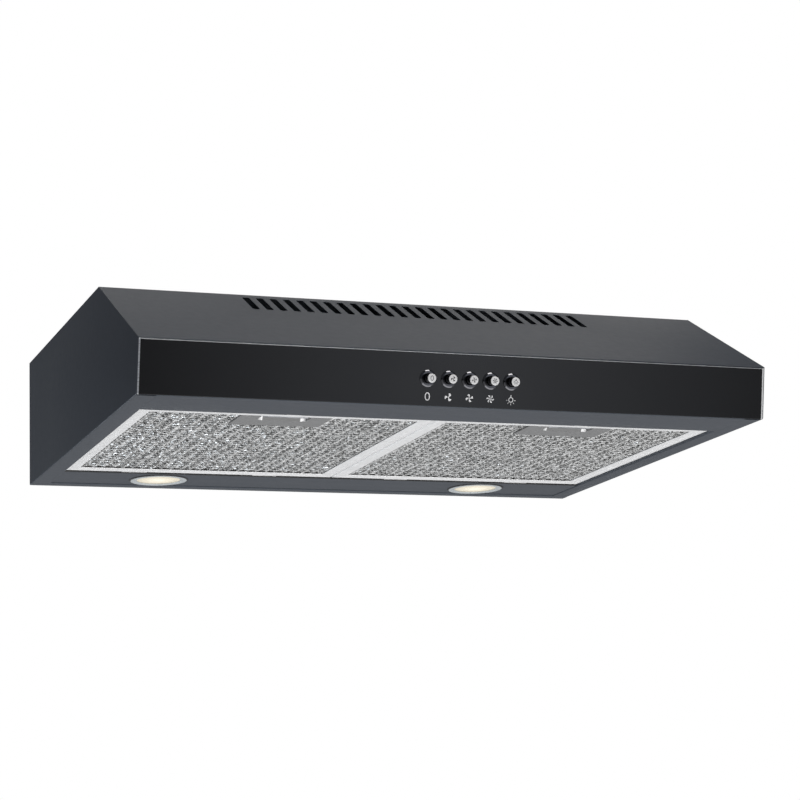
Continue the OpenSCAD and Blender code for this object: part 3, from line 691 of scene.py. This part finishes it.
def rear_panel():
    """Rear sheet with its bottom flange, keyholes, wall screw holes and cable hole."""
    top_lap, flange_lip = 15 * mm, 8 * mm
    key_x, key_z, key_head_r, key_slot_r, key_rise = in_mm(240, -38, 5, 2.5, 11.5)
    screw_up = 34 * mm
    cable_r, cable_spot = 8 * mm, in_mm(317, -20)
    # Drawn the other way round, so that the sheet lies on the inside
    path = [
        (top_lap, -sheet), (0, -sheet), (0, rim_z), (rear_flange, rim_z), (rear_flange, rim_z + flange_lip),
    ]
    body = mirrored(prism(sheet_section(path, fold_r), -in_x, in_x), (1, -1, 1))

    def cutter(outline):
        return prism(outline, -5 * mm, 5 * mm, ALONG_Y)

    tools = []
    for x in (-key_x, key_x):
        end_r = key_slot_r - 0.01 * mm
        slot = rounded_box(x - key_slot_r, x + key_slot_r, key_z, key_z + key_rise, [0, 0, end_r, end_r])
        tools.append(combined(cutter(circle(key_head_r, 40, (x, key_z))), cutter(slot), "UNION"))
        tools.append(cutter(circle(key_slot_r, 24, (x, rim_z + screw_up))))
    tools.append(cutter(circle(cable_r, 40, cable_spot)))
    body = soften(combined(body, joined(tools)), 0.15 * mm, 1)
    piece("rear_shell", body, "canopy", paint, "rear_panel")


def side_panel():
    """The right wall, the flange under it and the lip at the filters."""
    path = [(half_w, 1 * mm), (half_w, rim_z), (open_x, rim_z), (open_x, rim_z + lip_h)]
    section = sheet_section([(-x, z) for x, z in path], fold_r)
    body = prism([(-p[0], p[1]) for p in section], -body_d, 0, ALONG_Y)
    outline = [(0, rim_z), (0, 0), (fold_y, 0), (-body_d, nose_z), (front_rake - body_d, rim_z)]
    body = combined(body, prism(outline, 0, half_w + 1 * mm), "INTERSECT")
    # Room above the flange for the front rail, in front of it for the rail's fold, and for the rear flange
    ahead, below = -body_d - 1 * mm, rim_z - 1 * mm
    over = block(0, in_x, ahead, -open_front, rim_z + sheet + 0.05 * mm, 0)
    nose = block(0, in_x, ahead, rail_foot, below, 0)
    rear = block(0, in_x, -rear_flange, 1 * mm, below, 0)
    body = combined(combined(body, joined([over, rear])), nose)
    return soften(body, 0.35 * mm, 2, lambda e: all(v.co.x > half_w - 0.1 * mm for v in e.verts))


def front_rail():
    """The leaf behind the glass and the strip under the front edge, with the latch bolts' notches."""
    leaf_top = FRONT @ Vector((0, glass_t, face_h - 3.5 * mm))
    path = [
        (leaf_top.y, leaf_top.z), (rail_foot, rim_z), (-open_front, rim_z), (-open_front, rim_z + lip_h),
    ]
    body = prism(sheet_section(path, fold_r), -in_x, in_x)
    tools = [bore(button_hole_r, -8 * mm, 1 * mm, at_button(x), 40) for x in button_xs]
    notch_half, notch_depth, seam = in_mm(8, 2.6, 1.3)
    notch_top = high("latch_slide_right").z + 0.6 * mm
    below, behind = rim_z - 1 * mm, -open_front + 1 * mm
    for s in (-1, 1):
        tools.append(bar(s * filter_x, notch_half, -open_front - notch_depth, behind, below, notch_top))
        over_flange = sorted((s * (open_x + seam), s * (in_x + 1 * mm)))
        tools.append(block(*over_flange, -body_d - 1 * mm, behind, below, rim_z + sheet + 0.1 * mm))
    body = combined(body, joined(tools))

    def clear_of_flange(edge):
        return not all(abs(v.co.x) > open_x - 1 * mm and v.co.z < rim_z + 1.5 * mm for v in edge.verts)

    soften(body, 0.15 * mm, 1, clear_of_flange)
    piece("front_rail_shell", body, "canopy", paint, "front_rail")


def lamp_panel():
    """The rear strip with its lamp holes and the slots for the filters' tongues."""
    lamp_hole_r, slot_half = 30.3 * mm, 16.5 * mm
    path = [
        (-open_rear, panel_z + lip_h), (-open_rear, panel_z),
        (-rear_flange, panel_z), (-rear_flange, panel_z + lip_h),
    ]
    body = prism(sheet_section(path, fold_r), -open_x, open_x)
    tools = [bore(lamp_hole_r, -5 * mm, 5 * mm, at_lamp(s)) for s in (-1, 1)]
    for s in (-1, 1):
        for t in (-1, 1):
            tools.append(bar(
                s * filter_x + t * tongue_x, slot_half, -open_rear - 1 * mm, -open_rear + 2 * mm,
                rim_z + 2.6 * mm, rim_z + 11.2 * mm))
    body = soften(combined(body, joined(tools)), 0.15 * mm, 1)
    # The front lip takes black as painted shade, standing in for the filters' shadow on it
    lip_y = -open_rear + 0.8 * mm
    coat(body, 1, lambda face: face.normal.y < -0.6 and face.calc_center_median().y < lip_y)
    piece("lamp_panel_shell", body, "canopy", [paint, black], "lamp_panel")


# ---- Glass, buttons and icons

def front_glass():
    x, bottom, top = high("front_glass").x, 0.3 * mm, face_h - 2 * mm
    body = block(-x, x, 0, glass_t, bottom, top, FRONT)
    holes = [bore(button_hole_r, -6 * mm, 2 * mm, at_button(x), 48) for x in button_xs]
    body = soften(combined(body, joined(holes)), 0.5 * mm, 2)
    piece("glass_panel", body, "canopy", glass, "front_glass", angle=20)


def bezels():
    bezel_r, bore_r, neck_r, back = in_mm(9, 5.1, 7.2, -6.6)
    section = fillet([
        (bore_r, back), (bore_r, 1.6 * mm), (7.6 * mm, 1.6 * mm), (bezel_r, 0.5 * mm),
        (bezel_r, 0), (neck_r, 0), (neck_r, back),
    ], in_mm(0, 0.5, 1.2, 0.3, 0, 0, 0), 5, closed=True)
    rings = [lathe(section, at_button(x)) for x in button_xs]
    piece("bezel_rings", joined(rings), "canopy", smoked, "button_bezels")


def ring_shape(rx, ry, stroke, count=36):
    """An oval ring, as flat quads of its own: the outer and inner outline."""
    outer, inner = (
        [Vector((p.x * a, p.y * b)) for p in circle(1, count)]
        for a, b in ((rx, ry), (rx - stroke, ry - stroke)))
    return [[outer[i], outer[(i + 1) % count], inner[(i + 1) % count], inner[i]] for i in range(count)]


def petal(radius, turn, spread):
    """One fan blade: it leaves the hub, leans round, grows wide and ends in a round tip."""
    steps, hub, tip_from, lean_by = 12, 0.1, 0.7, 0.55
    lead, trail = [], []
    for k in range(steps + 1):
        share = k / steps
        r = radius * (hub + (1 - hub) * share)
        tip = max(0, (share - tip_from) / (1 - tip_from))
        half = spread * (0.5 + 0.5 * share) * math.sqrt(max(0, 1 - tip * tip))
        lean = turn + lean_by * share
        lead.append(Vector((r * math.cos(lean + half), r * math.sin(lean + half))))
        trail.append(Vector((r * math.cos(lean - half), r * math.sin(lean - half))))
    return lead[:-1] + trail[::-1]


def fan_shape(blades, radius, first):
    turns = [2 * math.pi * i / blades + first for i in range(blades)]
    return [petal(radius, t, 1.7 / blades) for t in turns] + [circle(0.16 * radius, 12)]


def lamp_shape(size):
    """A round bulb that hangs from its cap, with rays to the sides and below."""
    shapes = ring_shape(0.56 * size, 0.56 * size, 0.15 * size, 24)
    shapes.append([Vector(p) * size for p in ((-0.1, 0.5), (0.1, 0.5), (0.1, 1.0), (-0.1, 1.0))])
    for k in range(5):
        a = math.radians(-172 + 41 * k)
        way = Vector((math.cos(a), math.sin(a))) * size
        side = Vector((-math.sin(a), math.cos(a))) * 0.06 * size
        shapes.append([way * 0.76 - side, way * 1.08 - side, way * 1.08 + side, way * 0.76 + side])
    return shapes


def icon_shapes(size):
    return [
        ring_shape(0.66 * size, size, 0.22 * size), fan_shape(3, size, 0.65), fan_shape(4, size, -0.15),
        fan_shape(6, size, 0.44), lamp_shape(1.15 * size),
    ]


def stamped(shapes, place, depth, proud):
    """The flat shapes as thin solids, from depth below the surface to proud above it."""
    return [prism(shape, -depth, proud, place) for shape in shapes]


def printed_icons():
    icon_up, size = 9.9 * mm, 4.3 * mm
    parts = []
    for x, shapes in zip(button_xs, icon_shapes(size)):
        parts += stamped(shapes, on_front(x, icon_up), 0.02 * mm, 0.04 * mm)
    piece("printed_icons", joined(parts), "canopy", print_white)


def buttons():
    cap_r, cap_out, cap_back, stem_back, stem_half = in_mm(4.7, 12.5, -7, -16, 2.5)
    profile = fillet(
        [(0, cap_back), (cap_r, cap_back), (cap_r, cap_out), (0, cap_out)], in_mm(0, 0.3, 0.8, 0), 5)
    names = ["off", "speed_1", "speed_2", "speed_3", "light"]
    for x, name, shapes in zip(button_xs, names, icon_shapes(2.7 * mm)):
        place = at_button(x)
        stem = bar(0, stem_half, -stem_half, stem_half, stem_back, cap_back + 0.1 * mm, place)
        body = joined([lathe(profile, place, 56, closed=False), soften(stem, 0.3 * mm, 2)])
        away = place.inverted()
        coat(body, 1, lambda face: (away @ face.calc_center_median()).z > cap_out - 0.5 * mm)
        marks = stamped(shapes, place @ Matrix.Translation((0, 0, cap_out)), 0.1 * mm, 0.03 * mm)
        materials = [smoked, button_face, black]
        piece("push_button_" + name, with_extra(body, marks, 2), name + "_button", materials,
              "button_" + name)


# ---- Lamps

def lamps():
    """Each lamp's trim ring, black at its outer edge as a painted shadow for the gap round it, and its lens.
    """
    view_r, barrel_r, bore_r, lens_r = in_mm(26, 30, 27.6, 27.3)
    outer_r = (high("lamp_trim_right").x - low("lamp_trim_right").x) / 2
    flange_t, barrel_top, painted_shadow_edge = in_mm(1.2, 6, 1.1)
    ring = fillet([
        (view_r, 0), (view_r, -0.5 * mm), (view_r + 1.6 * mm, -flange_t), (outer_r - 2.2 * mm, -flange_t),
        (outer_r, -0.35 * mm), (outer_r, 0), (barrel_r, 0), (barrel_r, barrel_top), (bore_r, barrel_top),
        (bore_r, 0),
    ], in_mm(0, 0.2, 0.8, 1.2, 0.15, 0, 0, 0.3, 0.3, 0), 4, closed=True)
    bulge = [math.pi / 2 * k / 10 for k in range(1, 10)]
    lens = [(0, 2.4 * mm), (lens_r, 2.4 * mm), (lens_r, 0.25 * mm), (view_r - 0.3 * mm, 0.2 * mm)]
    lens += [(view_r * math.cos(a) * 0.985, 0.2 * mm - 0.9 * mm * math.sin(a)) for a in bulge]
    lens += [(0, -0.7 * mm)]
    for s, name in ((-1, "left"), (1, "right")):
        place = at_lamp(s)
        away = place.inverted()
        body = lathe(ring, place, 96)
        # The ring's outer edge faces take black: a painted shadow
        coat(body, 1, lambda face: (away @ face.calc_center_median()).xy.length > outer_r - painted_shadow_edge)
        piece("lamp_ring_" + name, body, "canopy", [lamp_ring, black], "lamp_trim_" + name)
        piece("lamp_glow_" + name, lathe(lens, place, 96, closed=False), "canopy",
              diffuser(s * lamp_centre.x), "lamp_lens_" + name)


# ---- Filters

def rail_section(rim):
    """Section of a filter's rail: a rolled outer edge, a step, and the rim that holds the mesh."""
    step = 0.5 * mm
    path = [
        (rim - 1 * mm, filter_t), (0, filter_t), (0, 0), (5.2 * mm, 0), (6.4 * mm, step),
        (rim, step), (rim, 1.5 * mm),
    ]
    return sheet_section(path, in_mm(0, 1, 1.3, 1, 1, 0.8, 0), 0.7 * mm)


def filter_frame():
    """The right filter's four rails, mitred at the corners, and its two tongues."""
    length = filter_back_y - filter_front_y
    middle_y = (filter_front_y + filter_back_y) / 2
    mitre_gap = 0.06 * mm
    lean = filter_rim / front_rim
    # Each rail's place, turn, length and rim, and how its two mitres lean
    rails = [
        ((0, filter_front_y), 0, filter_w, front_rim, lean, lean),
        ((0, filter_back_y), 180, filter_w, filter_rim, 1, 1),
        ((-filter_w / 2, middle_y), -90, length, filter_rim, 1, 1 / lean),
        ((filter_w / 2, middle_y), 90, length, filter_rim, 1 / lean, 1),
    ]
    parts = []
    for (x, y), turn, span, rim, lean_0, lean_1 in rails:
        place = Matrix.Translation((filter_x + x, y, filter_z)) @ Matrix.Rotation(math.radians(turn), 4, "Z")
        rail = prism(
            rail_section(rim),
            lambda p: -span / 2 + p[0] * lean_0 + mitre_gap,
            lambda p: span / 2 - p[0] * lean_1 - mitre_gap,
            place @ ALONG_X)
        if rim == front_rim:
            bolt_hole = bar(
                filter_x, 7.6 * mm, filter_front_y - 1 * mm, filter_front_y + 3 * mm,
                filter_z + 2.2 * mm, filter_z + 6 * mm)
            rail = combined(rail, bolt_hole)
        parts.append(rail)
    tongue_half, tip_r = 15 * mm, 3 * mm
    for t in (-1, 1):
        x = filter_x + t * tongue_x
        tongue = slab(
            x - tongue_half, x + tongue_half, filter_back_y - 3 * mm, filter_high.y, [0, 0, tip_r, tip_r],
            filter_z + 0.02 * mm, filter_z + 1.2 * mm)
        parts.append(soften(tongue, 0.15 * mm, 1))
    return joined(parts)


def strand(bm, a, b, width, thick, tilt, sides, finish=0):
    """One thin bar from a to b, its wide side tilted about its own line."""
    along = (b - a).normalized()
    flat = along.cross(Vector((0, 0, 1))).normalized()
    up = flat.cross(along)
    wide = (flat * math.cos(tilt) + up * math.sin(tilt)) * width / 2
    deep = (up * math.cos(tilt) - flat * math.sin(tilt)) * thick / 2
    offsets = [wide - deep, wide + deep, -wide + deep, -wide - deep] if sides == 4 else [wide, deep, -wide]
    near = [bm.verts.new(a + o) for o in offsets]
    far = [bm.verts.new(b + o) for o in offsets]
    faces = [bm.faces.new(near[::-1]), bm.faces.new(far)]
    for i in range(sides):
        k = (i + 1) % sides
        faces.append(bm.faces.new((near[i], near[k], far[k], far[i])))
    for face in faces:
        face.material_index = finish


def foil(seed, base_z, shift, sides):
    """One corrugated layer of expanded metal, centred on X = 0: a lattice of slit and pulled strands."""
    rng = random.Random(seed)
    bm = bmesh.new()
    step_x, step_y = 2.55 * mm, 6.4 * mm
    ridge_pitch, ridge_h = 11.6 * mm, 1.6 * mm
    phase = shift * 40  # in ridges, so that no two layers line up
    half = filter_w / 2 - 4.4 * mm
    y0, y1 = filter_front_y + 4.6 * mm, filter_back_y - 4.6 * mm
    columns, rows = int(2 * half / step_x), int((y1 - y0) / step_y)
    left_x = -half + (2 * half - columns * step_x) / 2
    # The latch plate covers this much of the mesh
    plate_x, plate_y = 48.5 * mm, filter_front_y + front_rim + 45.5 * mm

    def spot(i, j):
        x = left_x + i * step_x
        y = y0 + j * step_y + (shift if 0 < j < rows else 0)
        wave = abs(((x / ridge_pitch + phase) % 1) * 2 - 1)
        jitter = Vector((rng.uniform(-0.22, 0.22), rng.uniform(-0.5, 0.5), rng.uniform(-0.1, 0.1))) * mm
        return Vector((x, y, base_z + wave * ridge_h)) + jitter

    spots = {(i, j): spot(i, j) for i in range(columns + 1) for j in range(rows + 1) if (i + j) % 2 == 0}
    for (i, j), a in spots.items():
        for dj in (-1, 1):
            b = spots.get((i + 1, j + dj))
            if b is None:
                continue
            centre = (a + b) / 2
            if abs(centre.x) < plate_x and centre.y < plate_y:
                continue
            tilt = math.radians(rng.gauss(38 * dj, 9))
            # Strands on one flank of each ridge take the darker copy of the foil, as painted shade
            shaded_flank = int((centre.x / ridge_pitch + phase) % 1 >= 0.5)
            strand(bm, a, b, 1.25 * mm, 0.3 * mm, tilt, sides, shaded_flank)
    # The creases between the ridges, where the strands line up
    for n in range(int(2 * half / ridge_pitch) + 1 if sides == 4 else 0):
        x = (math.ceil(-half / ridge_pitch) + n - 0.5 - phase % 1) * ridge_pitch
        if abs(x) > half - 2 * mm:
            continue
        y = plate_y if abs(x) < plate_x else y0
        while y + step_y < y1:
            ends = (y, y + step_y)
            a, b = (Vector((x + rng.uniform(-0.15, 0.15) * mm, end, base_z - 0.25 * mm)) for end in ends)
            strand(bm, a, b, 1.1 * mm, 0.25 * mm, math.radians(rng.gauss(0, 8)), sides)
            y += step_y
    return bm


def filter_foils():
    # Each layer's number, height, shift and sides of its strands
    layers = [(1, 1.9 * mm, 0.0, 4), (2, 4.0 * mm, 2.1 * mm, 4), (3, 6.1 * mm, 3.3 * mm, 3)]
    for s, name in SIDES:
        for number, up, shift, sides in layers:
            bm = mirrored(foil(number * 7 + s, filter_z + up, shift, sides))
            bmesh.ops.translate(bm, verts=bm.verts, vec=(s * filter_x, 0, 0))
            # Layers 2 and 3 take the darker inner foil, as painted shade
            replaced, materials = (), [inner_foil_painted_shade, inner_foil_painted_shade]
            if number == 1:
                replaced, materials = "filter_mesh_" + name, [foil_alu, foil_painted_shade]
            title = f"filter_foil_{name}_{number}"
            piece(title, bm, "filter_" + name, materials, replaced, angle=20)


def latch_plate():
    """The right filter's latch plate: a scooped finger tray and a rib at each end. The slanted faces at the
    tray's two ends take bright aluminium as a painted highlight.
    """
    latch_w, latch_d, thick, rib_w = in_mm(100, 47, 1, 2)
    pull_half, pull_d, pull_h, scoop = in_mm(27.5, 20, 6.4, 4.5)
    x, y0, z0 = filter_x, filter_front_y + front_rim, filter_z + 0.2 * mm
    body = combined(
        slab(x - latch_w / 2, x + latch_w / 2, y0, y0 + latch_d, 1.2 * mm, z0, z0 + thick),
        bar(x, pull_half + thick, y0, y0 + pull_d + thick, z0, z0 + pull_h), "UNION")
    for t in (-1, 1):
        rib = bar(
            x + t * (latch_w / 2 - rib_w), rib_w / 2, y0 + 0.5 * mm, y0 + latch_d - 0.5 * mm,
            z0 + 0.5 * mm, z0 + pull_h)
        body = combined(body, rib, "UNION")
    far, far_r = y0 + pull_d, 8 * mm
    outline = rounded_box(x - pull_half, x + pull_half, y0 - 1 * mm, far, [0, 0, far_r, far_r], 8)
    pocket = prism(outline, z0 - 1 * mm, z0 + pull_h - thick, Matrix())
    for v in pocket.verts:
        if v.co.z > z0:
            v.co.y = min(v.co.y, far - scoop)
        elif v.co.y > y0 + pull_d / 2:
            v.co.y += 1 * mm
    body = combined(body, pocket)

    def on_rim(edge):
        return all(
            abs(v.co.z - z0) < 0.01 * mm and abs(v.co.x - x) < pull_half + 0.1 * mm
            and y0 + 0.5 * mm < v.co.y < far + 0.1 * mm for v in edge.verts)

    before = set(body.faces)

    def painted_highlight_rim_end(face):
        slanted = 0.2 < abs(face.normal.z) < 0.98
        return face not in before and slanted and abs(face.calc_center_median().x - x) > pull_half - 6 * mm

    soften(body, 1.3 * mm, 4, on_rim)
    # The slanted rim faces at the tray's ends take the bright aluminium: a painted highlight
    coat(body, 1, painted_highlight_rim_end)
    return body


def latch_slide():
    """The right latch: a ribbed finger tab and the bolt that it draws back."""
    lower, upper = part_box("latch_slide_right")
    bolt_z, bolt_half, nose = upper.z - 2.6 * mm, 7 * mm, 2.2 * mm
    tab_front = filter_front_y + front_rim + 1.9 * mm
    tab = soften(slab(lower.x, upper.x, tab_front, upper.y, 1.2 * mm, lower.z, upper.z), 0.4 * mm, 2)
    rib_half, rib_pitch, tail = 0.8 * mm, 5 * mm, tab_front + 1 * mm
    ribs = []
    for k in range(-4, 5):
        rib = bar(
            filter_x + k * rib_pitch, rib_half, tab_front - 0.5 * mm, tail, lower.z + 0.4 * mm, upper.z)
        ribs.append(soften(rib, 0.3 * mm, 1))
    outline = [
        (lower.y, upper.z), (lower.y, bolt_z + 1.4 * mm), (lower.y + nose / 2, bolt_z),
        (tail, bolt_z), (tail, upper.z),
    ]
    bolt = soften(prism(outline, filter_x - bolt_half, filter_x + bolt_half), 0.25 * mm, 1)
    return joined([tab, bolt] + ribs)


def latch_spring():
    """The right latch's closed helical spring, which lies along Y."""
    lower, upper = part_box("latch_spring_right")
    radius, wire, turns, steps_round, around, end_gap = 1.6 * mm, 0.35 * mm, 9, 16, 8, 0.4 * mm
    start = Vector(((lower.x + upper.x) / 2, lower.y + end_gap, (lower.z + upper.z) / 2))
    length = upper.y - lower.y - 2 * end_gap
    steps = steps_round * turns
    bm = bmesh.new()
    rings = []
    for k in range(steps + 1):
        a = 2 * math.pi * turns * k / steps
        outward = Vector((math.cos(a), 0, math.sin(a)))
        centre = start + outward * radius + Vector((0, length * k / steps, 0))
        rings.append([
            bm.verts.new(centre + outward * p.x + Vector((0, p.y, 0))) for p in circle(wire, around)])
    for a, b in zip(rings, rings[1:]):
        for n in range(around):
            k = (n + 1) % around
            bm.faces.new((a[n], a[k], b[k], b[n]))
    bm.faces.new(rings[0])
    bm.faces.new(rings[-1][::-1])
    bmesh.ops.recalc_face_normals(bm, faces=bm.faces)
    return bm


# ---- Electrical parts

def screw_head(x, y, z):
    """A domed cross head that points down from z."""
    radius, rise, arm, half = in_mm(2.4, 1.4, 1.4, 0.3)
    bulge = [math.pi / 2 * k / 6 for k in range(6)]
    dome = [(0, 0)] + [(radius * math.cos(a), -rise * math.sin(a)) for a in bulge] + [(0, -rise)]
    head = lathe(dome, Matrix.Translation((x, y, z)), 24, closed=False)
    bottom, top = z - 2 * mm, z - rise / 2
    cross = combined(
        bar(x, arm, y - half, y + half, bottom, top), bar(x, half, y - arm, y + arm, bottom, top), "UNION")
    return combined(head, cross)


def capacitor_can():
    """The motor capacitor: a crimped can that hangs with its two blades down."""
    lower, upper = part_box("capacitor")
    centre = (lower + upper) / 2
    r, foot, top = (upper.x - lower.x) / 2, lower.z, upper.z
    neck, blade_x, blade_half_t, blade_half_w = r - 0.8 * mm, 4.5 * mm, 0.4 * mm, 3.1 * mm
    # Radius and height above the foot
    ends = [(0, 0), (r - 3 * mm, 0), (r - 3 * mm, 2.4 * mm), (r - 1.6 * mm, 2.4 * mm), (r, 4 * mm),
            (r, 6.4 * mm), (neck, 7.2 * mm), (neck, 8 * mm), (r, 8.8 * mm)]
    profile = [(x, foot + up) for x, up in ends] + [(r, top - 0.8 * mm), (r - 0.8 * mm, top), (0, top)]
    body = lathe(profile, Matrix.Translation((centre.x, centre.y, 0)), 48, closed=False)
    blades = []
    for k in (-1, 1):
        blade = bar(
            centre.x + k * blade_x, blade_half_t, centre.y - blade_half_w, centre.y + blade_half_w,
            foot - 6 * mm, foot + 1 * mm)
        blades.append(soften(blade, 0.15 * mm, 1))
    piece("capacitor_can", with_extra(body, blades), "canopy", [white, bright], "capacitor")


def driver_case():
    """The lamp driver: a case with a grooved lid on four screws."""
    lower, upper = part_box("led_driver")
    split, inset, groove_half = lower.z + 6 * mm, 0.7 * mm, 0.9 * mm
    base = soften(slab(lower.x, upper.x, lower.y, upper.y, 2 * mm, split, upper.z), 0.3 * mm, 2)
    lid = slab(
        lower.x + inset, upper.x - inset, lower.y + inset, upper.y - inset, 1.6 * mm,
        lower.z, split + 0.2 * mm)
    grooves = [
        block(lower.x + 5 * mm, upper.x - 5 * mm, y - groove_half, y + groove_half,
              lower.z - 1 * mm, lower.z + 1 * mm)
        for y in (lower.y + (24 + 8 * k) * mm for k in range(10))
    ]
    lid = soften(combined(lid, joined(grooves)), 0.4 * mm, 2)
    screws = [
        screw_head(x, y, lower.z + 0.4 * mm)
        for x in (lower.x + 6 * mm, upper.x - 6 * mm) for y in (lower.y + 8 * mm, upper.y - 8 * mm)
    ]
    body = with_extra(joined([base, lid]), screws)
    piece("driver_case", body, "canopy", [white, bright], "led_driver")


def terminal_lid():
    """A raised lid with two screws, over the terminal box, which keeps its CAD shape."""
    lower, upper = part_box("terminal_box")
    wall, rim, corner = 0.6 * mm, lower.z + 6 * mm, 2 * mm
    lid = slab(
        lower.x - wall, upper.x + wall, lower.y - wall, upper.y + wall, corner, lower.z - wall, rim)
    hollow = block(lower.x, upper.x, lower.y, upper.y, lower.z, rim + 1 * mm)
    raised = slab(
        lower.x + 9 * mm, upper.x - 9 * mm, lower.y + 14 * mm, upper.y - 14 * mm, corner,
        lower.z - 1.8 * mm, lower.z - wall / 2)
    lid = soften(combined(combined(lid, hollow), raised, "UNION"), 0.25 * mm, 2)
    middle_x = (lower.x + upper.x) / 2
    screws = [
        screw_head(middle_x, y, lower.z - wall + 0.2 * mm) for y in (lower.y + 7 * mm, upper.y - 7 * mm)]
    piece("terminal_lid", with_extra(lid, screws), "canopy", [white, bright])


# ---- The nodes that keep their CAD shape

def finish_node(name, material, bevel):
    """Gives a CAD node its finish, and rounds its sharp edges with modifiers."""
    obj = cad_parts[name]
    for slot in obj.material_slots:
        slot.material = material
    if bevel:
        weld = obj.modifiers.new("weld", "WELD")
        weld.merge_threshold = 1e-5
        edge = obj.modifiers.new("edge", "BEVEL")
        edge.width = bevel
        edge.segments = 2
        edge.limit_method = "ANGLE"
        edge.angle_limit = math.radians(40)
        edge.use_clamp_overlap = True


def kept_nodes():
    def both(*names):
        return [name + side for name in names for side in ("left", "right")]

    # Each finish, its bevel in mm, and the nodes that take them
    finishes = [
        (trim_painted_shade, 0.25, ["top_trim"]), (trim_alu, 0.25, ["end_trim_left"]),
        (filter_alu, 0.25, ["end_trim_right"]), (filter_alu, 0.2, both("lamp_housing_")),
        (zinc, 0, ["outlet_box", "vent_duct", "switch_bracket"]),
        (zinc, 0, both("scroll_band_", "inlet_plate_", "motor_plate_")),
        (motor_grey, 1, both("motor_")), (rotor, 0, both("impeller_")), (wires, 0, ["wiring_harness"]),
        (black, 0.3, ["damper_flap_front", "damper_flap_rear", "changeover_flap"]),
        (black, 0.4, both("inlet_grille_")), (black, 0.5, ["duct_collar", "cable_grommet"]),
        (black, 0.8, ["switch_block"]), (white, 0.8, ["terminal_box"]), (bright, 0.4, ["fasteners"]),
    ]
    for material, bevel, names in finishes:
        for name in names:
            finish_node(name, material, bevel * mm)


canopy_sheet()
rear_panel()
pair("side_shell_", side_panel, "canopy", paint, "dark_powder_coat", "side_panel_")
front_rail()
lamp_panel()
front_glass()
bezels()
printed_icons()
buttons()
lamps()
pair("filter_rails_", filter_frame, "filter_", filter_alu, "filter_aluminium", "filter_frame_")
filter_foils()
pair("latch_tray_", latch_plate, "filter_", [latch_paint, filter_alu], "latch_grey", "latch_plate_")
pair("latch_bolt_", latch_slide, "latch_", zinc, "galvanised_steel", "latch_slide_")
pair("pull_spring_", latch_spring, "filter_", spring_wire, "spring_steel", "latch_spring_")
capacitor_can()
driver_case()
terminal_lid()
kept_nodes()
